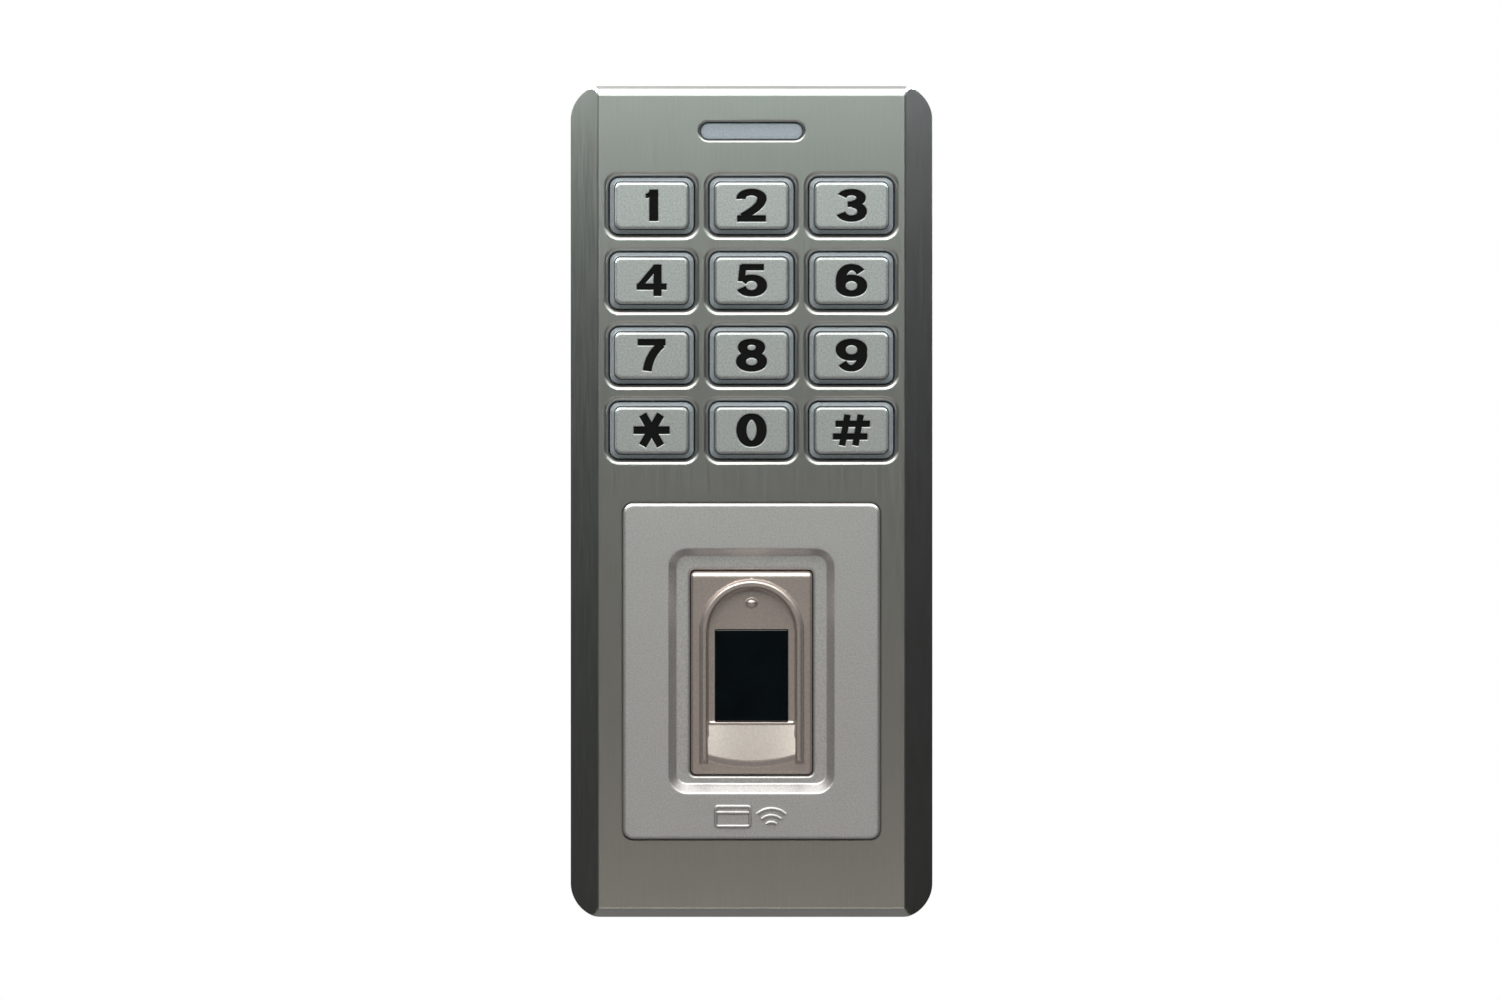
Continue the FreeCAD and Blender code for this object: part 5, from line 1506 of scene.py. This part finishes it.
@dataclass
class FingerGuide:
    """The pearl guide: a frame with a horseshoe ridge, a trough, a ramp and a nub.

    Heights are measured forward from the frame's face, and places from the guide's middle.

    Attributes:
        grid: Spacing of the points.
        half: Half the frame's size.
        corner: The frame's corner radius.
        edge: The round on its edge.
        ridge_height: The ridge before the frame.
        trough_depth: The trough's floor behind the frame.
        crown_middle: Height of the middle of the horseshoe's round.
        trough_half: Half the trough's width.
        inner_slope: Width of the ridge's inner side.
        crest: Width of the ridge's top.
        outer_slope: Width of the ridge's outer side.
        foot: Where the ridge ends.
        ramp_start: Where the ramp starts.
        ramp_crest: Where it ends, in the middle.
        ramp_curl: How much higher the ramp ends at its sides.
        ramp_height: The ramp's crest before the frame.
        ramp_fall: Width of the ramp's fall beyond its crest.
        foot_fall: Width of the ridge's fall beyond its foot.
        nub_up: The nub's middle.
        nub_half: Half the nub's width and height.
        nub_height: The nub before the trough.
        brow: Width of the longer fall at the frame's top.
        brow_share: How much of that round is taken.
        lip: Height of the fine bead where the ramp starts.
        lip_half: Half the bead's width.
        blend: Width over which the ramp and the bead end at the ridge.
        glass_gap: Gap round the window.
        glass_corner: Corner radius of the window's hole.
        glass_edge: Width of the hole's side.
        glass_depth: Depth of the hole.
    """

    wardrobe: Wardrobe
    grid: float = 0.13
    half: tuple[float, float] = (11.65, 19.6)
    corner: float = 0.95
    edge: float = 0.5
    ridge_height: float = 1.5
    trough_depth: float = 0.7
    crown_middle: float = 7.95
    trough_half: float = 8.25
    inner_slope: float = 0.45
    crest: float = 0.6
    outer_slope: float = 0.75
    foot: float = -16.6
    ramp_start: float = -9.75
    ramp_crest: float = -17.0
    ramp_curl: float = 1.2
    ramp_height: float = 0.45
    ramp_fall: float = 1.3
    foot_fall: float = 1.2
    nub_up: float = 13.3
    nub_half: tuple[float, float] = (1.15, 0.95)
    nub_height: float = 0.6
    brow: float = 1.4
    brow_share: float = 0.6
    lip: float = 0.14
    lip_half: float = 0.24
    blend: float = 0.3
    glass_gap: float = 0.08
    glass_corner: float = 0.3
    glass_edge: float = 0.14
    glass_depth: float = 0.9

    def build(self) -> bpy.types.Object:
        """Makes the guide as a height field with straight sides.

        Returns:
            The guide.
        """
        place = Place.of("finger_guide")
        panel = Place.of("card_panel")
        face = place.low[1] + self.ridge_height
        middle = panel.middle - [0.0, 0.0, READER_DROP]
        patch = Patch(*self.half, self.corner, self.grid)
        x, z = patch.places()
        y = face - self.height(x, z, middle[2])
        skin = patch.skin(y, place.high[1], middle[0], middle[2])
        obj = skin.piece("guide_skin", 60.0)
        settle(obj, ROOT_BODY, ["finger_guide"], GUIDE_PEARL, self.wardrobe)
        return obj

    def height(self, x: np.ndarray, z: np.ndarray, middle: float) -> np.ndarray:
        """The guide's relief.

        The ridge is a soft step up and then a quarter ellipse down, by the distance from a
        spine, which runs up the middle and ends at the crown's middle. The ramp is a
        straight rise to a crest that curls up at its sides, and the higher of ridge and
        ramp shows.

        Args:
            x: Places across the guide.
            z: Places up the guide.
            middle: The guide's middle, up the terminal.

        Returns:
            The height before the frame at each place.
        """
        spine = np.hypot(x, np.maximum(z - self.crown_middle, 0))
        wall_in = smooth_step((spine - self.trough_half) / self.inner_slope)
        start_out = self.trough_half + self.inner_slope + self.crest
        over = np.clip((spine - start_out) / self.outer_slope, 0, 1)
        end = smooth_step((z - self.foot) / self.foot_fall + 1)
        ridge = (self.ridge_height * end) * np.sqrt(1 - over**2) * wall_in
        floor = -self.trough_depth * (1 - wall_in) * end
        crest = self.ramp_crest + self.ramp_curl * (x / self.trough_half) ** 2
        rise = (self.ramp_start - z) / (self.ramp_start - crest)
        top = self.ramp_height + self.trough_depth
        lift = top * np.clip(rise, 0, 1) - self.trough_depth
        beyond = smooth_step((crest - z) / self.ramp_fall)
        ramp_height = lift * (1 - beyond)
        within = smooth_step((start_out - spine) / self.blend)
        ramp_shape = np.where(rise > 0, ramp_height * within, FAR_OUTSIDE)
        relief = np.maximum(ridge + floor, ramp_shape)
        lip = np.abs(z - self.ramp_start - 0.02) / self.lip_half
        bead = self.lip * np.sqrt(np.clip(1 - lip**2, 0, 1))
        relief = relief + bead * smooth_step((self.trough_half - np.abs(x)) / self.blend)
        nub = np.hypot(x / self.nub_half[0], (z - self.nub_up) / self.nub_half[1])
        relief = relief + self.nub_height * np.sqrt(np.clip(1 - nub**2, 0, 1))
        window = Place.of("sensor_window")
        glass = (window.half[0] + self.glass_gap, window.half[2] + self.glass_gap)
        sunk = inside_box(x, z + middle - window.middle[2], glass, self.glass_corner)
        relief = relief - self.glass_depth * smooth_step(sunk / self.glass_edge + 0.3)
        brow = self.half[1] - z
        relief = relief - self.brow_share * round_over(brow, self.brow)
        return relief - round_over(inside_box(x, z, self.half, self.corner), self.edge)


# ---------------------------------------------------------------- carried-over nodes


def refine_cad_nodes(frame: dict[str, Any], wardrobe: Wardrobe) -> None:
    """Gives the CAD nodes that stay their finishes, and four of them softened edges.

    Args:
        wardrobe: Where the materials are kept.
    """
    softened = {
        "front_case": 0.18,
        "mounting_plate": 0.12,
        "rear_cover": 0.2,
        "sensor_window": 0.12,
    }
    weld_mm = 0.002
    flat_deg = 1.0
    sharp_deg = 32.0
    for finish, nodes in CAD_FINISHES.items():
        for node in nodes:
            obj = frame["nodes"][node]
            wardrobe.dress(obj, finish)
            weld = obj.modifiers.new("weld", "WELD")
            weld.merge_threshold = weld_mm * MM
            if node in softened:
                flat = obj.modifiers.new("flat_faces", "DECIMATE")
                flat.decimate_type = "DISSOLVE"
                flat.angle_limit = math.radians(flat_deg)
                soft = obj.modifiers.new("soft_edges", "BEVEL")
                soft.width = softened[node] * MM
                soft.segments = 2
                soft.limit_method = "ANGLE"
                soft.angle_limit = math.radians(sharp_deg)
                soft.use_clamp_overlap = True
            weigh = obj.modifiers.new("weighted_normals", "WEIGHTED_NORMAL")
            weigh.keep_sharp = True
            LOG.info("%s: %s", node, finish.name)


# ---------------------------------------------------------------- studio


@dataclass(frozen=True)
class Softbox:
    """A rectangular light.

    Attributes:
        name: Its name.
        place: Its middle, in metres.
        target: The point that it faces, in metres.
        size: Its width and height, in metres.
        watts: Its power.
        colour: Its colour.
    """

    name: str
    place: tuple[float, float, float]
    target: tuple[float, float, float]
    size: tuple[float, float]
    watts: float
    colour: str

    def hang(self) -> bpy.types.Object:
        """Hangs the light, unseen by the camera.

        Returns:
            The light.
        """
        data = bpy.data.lights.new(self.name, "AREA")
        data.shape = "RECTANGLE"
        data.size, data.size_y = self.size
        data.energy = self.watts
        data.color = linear(self.colour)[:3]
        light = bpy.data.objects.new(self.name, data)
        bpy.context.scene.collection.objects.link(light)
        light.location = self.place
        light.visible_camera = False
        aim = Vector(self.target) - Vector(self.place)
        light.rotation_euler = aim.to_track_quat("-Z", "Y").to_euler()
        return light


SOFTBOXES = (
    Softbox("overhead", (0.0, -0.34, 0.48), (0.0, -0.1, 0.0), (1.1, 0.7), 4.8, "#fbfffc"),
    Softbox("key", (-0.25, -1.0, 0.85), (0.0, 0.0, 0.0), (0.7, 0.7), 4.4, "#fff0e8"),
    Softbox("front", (-0.03, -0.5, 0.21), (0.0, 0.0, 0.08), (0.4, 0.06), 0.48, "#e8fff8"),
    Softbox("low", (0.0, -0.8, -0.24), (0.0, 0.0, -0.08), (0.4, 0.08), 0.25, "#fff6ea"),
    Softbox("left", (-0.17, 0.05, 0.22), (0.0, 0.0, 0.1), (0.16, 0.14), 4.6, "#f2fff9"),
    Softbox("rear", (0.5, 1.0, 0.5), (0.0, 0.0, 0.0), (0.7, 0.7), 9.0, "#ffffff"),
    Softbox("right", (0.17, 0.05, 0.22), (0.0, 0.0, 0.1), (0.16, 0.14), 2.2, "#f0fbff"),
)
"""The lights: overhead, in front above and below, at the two sides and behind."""


@dataclass
class Studio:
    """Pale floor, soft lights and the camera.

    Attributes:
        lens_mm: The camera's focal length.
        sensor_mm: The camera's sensor width.
        view_width: Width of the view at the case's face, in metres.
        aside: The camera's place, right of the object's middle, in metres.
        above: The camera's place, above the object's middle, in metres.
        floor_drop: The floor below the object, in metres.
        floor_reach: The floor's edge from the middle, in metres.
        floor_colour: The floor's colour.
        floor_roughness: The floor's roughness.
        room: The room's brightness from straight below, 0, to straight above, 1.
    """

    lens_mm: float = 160.0
    sensor_mm: float = 36.0
    view_width: float = 0.2882
    aside: float = -0.0003
    above: float = 0.0003
    floor_drop: float = 0.22
    floor_reach: float = 2.2
    floor_colour: str = "#f4f4f2"
    floor_roughness: float = 0.9
    room: tuple[tuple[float, float], ...] = (
        (0.01, 0.34), (0.15, 0.34), (0.33, 0.19), (0.45, 0.01), (0.58, 0.02), (0.68, 0.1),
        (0.82, 0.42), (0.93, 0.8), (0.99, 0.9),
    )

    def build(self) -> None:
        """Sets up everything round the object."""
        low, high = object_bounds()
        self.camera(low, high)
        self.floor(low)
        self.world()
        for softbox in SOFTBOXES:
            softbox.hang()
        bpy.context.scene.view_settings.view_transform = "Standard"

    def camera(self, low: Sequence[float], high: Sequence[float]) -> None:
        """Looks straight at the face from in front.

        Args:
            low: The object's lowest corner.
            high: The object's highest corner.
        """
        data = bpy.data.cameras.new("camera")
        data.lens = self.lens_mm
        data.sensor_width = self.sensor_mm
        data.clip_end = 50.0
        camera = bpy.data.objects.new("camera", data)
        bpy.context.scene.collection.objects.link(camera)
        away = self.view_width * self.lens_mm / self.sensor_mm
        camera.location = (
            (low[0] + high[0]) / 2 + self.aside,
            low[1] - away,
            (low[2] + high[2]) / 2 + self.above,
        )
        camera.rotation_euler = (math.pi / 2, 0.0, 0.0)
        bpy.context.scene.camera = camera

    def floor(self, low: Sequence[float]) -> None:
        """Lays a pale floor well below the object; only the camera sees it.

        Args:
            low: The object's lowest corner.
        """
        mesh = bpy.data.meshes.new("floor")
        level = low[2] - self.floor_drop
        reach = self.floor_reach
        corners = [(-reach, -reach), (reach, -reach), (reach, reach), (-reach, reach)]
        mesh.from_pydata([(x, y, level) for x, y in corners], [], [(0, 1, 2, 3)])
        floor = bpy.data.objects.new("floor", mesh)
        bpy.context.scene.collection.objects.link(floor)
        material = bpy.data.materials.new("pale_floor")
        material.use_nodes = True
        shader = material.node_tree.nodes["Principled BSDF"]
        shader.inputs["Base Color"].default_value = linear(self.floor_colour)
        shader.inputs["Roughness"].default_value = self.floor_roughness
        mesh.materials.append(material)
        floor.visible_glossy = False
        floor.visible_diffuse = False
        floor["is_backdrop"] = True

    def world(self) -> None:
        """White behind the object, and a dim room, brighter above, in its reflections."""
        world = bpy.data.worlds.new("studio")
        world.use_nodes = True
        tree = world.node_tree
        tree.nodes.clear()
        rays = add_node(tree, "ShaderNodeLightPath")
        place = add_node(tree, "ShaderNodeTexCoord")
        height = add_node(
            tree, "ShaderNodeSeparateXYZ", inputs={0: place.outputs["Generated"]}
        ).outputs[2]
        share = add_node(
            tree, "ShaderNodeMapRange", inputs={"Value": height, "From Min": -1.0}
        ).outputs[0]
        room = add_node(tree, "ShaderNodeValToRGB", inputs={"Fac": share})
        stops = room.color_ramp.elements
        for place_on, grey in self.room:
            stop = stops.new(place_on)
            stop.color = (grey, grey, grey, 1.0)
        stops.remove(stops[0])
        stops.remove(stops[-1])
        dim = add_node(
            tree, "ShaderNodeBackground", inputs={"Color": room.outputs[0], "Strength": 1.0}
        )
        white = add_node(
            tree, "ShaderNodeBackground", inputs={"Color": (1, 1, 1, 1), "Strength": 1.0}
        )
        both = add_node(
            tree,
            "ShaderNodeMixShader",
            inputs={0: rays.outputs["Is Camera Ray"], 1: dim.outputs[0], 2: white.outputs[0]},
        )
        add_node(tree, "ShaderNodeOutputWorld", inputs={"Surface": both.outputs[0]})
        bpy.context.scene.world = world


# ---------------------------------------------------------------- the whole


def main() -> None:
    """Builds the terminal's looks, then the studio."""
    logging.basicConfig(level=logging.INFO, format="%(name)s: %(message)s")
    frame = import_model()
    wardrobe = Wardrobe()
    refine_cad_nodes(frame, wardrobe)
    Keypad(wardrobe).build()
    StatusLight(wardrobe).build()
    CardPanel(wardrobe).build()
    FingerGuide(wardrobe).build()
    Studio().build()


if __name__ == "__main__":
    main()
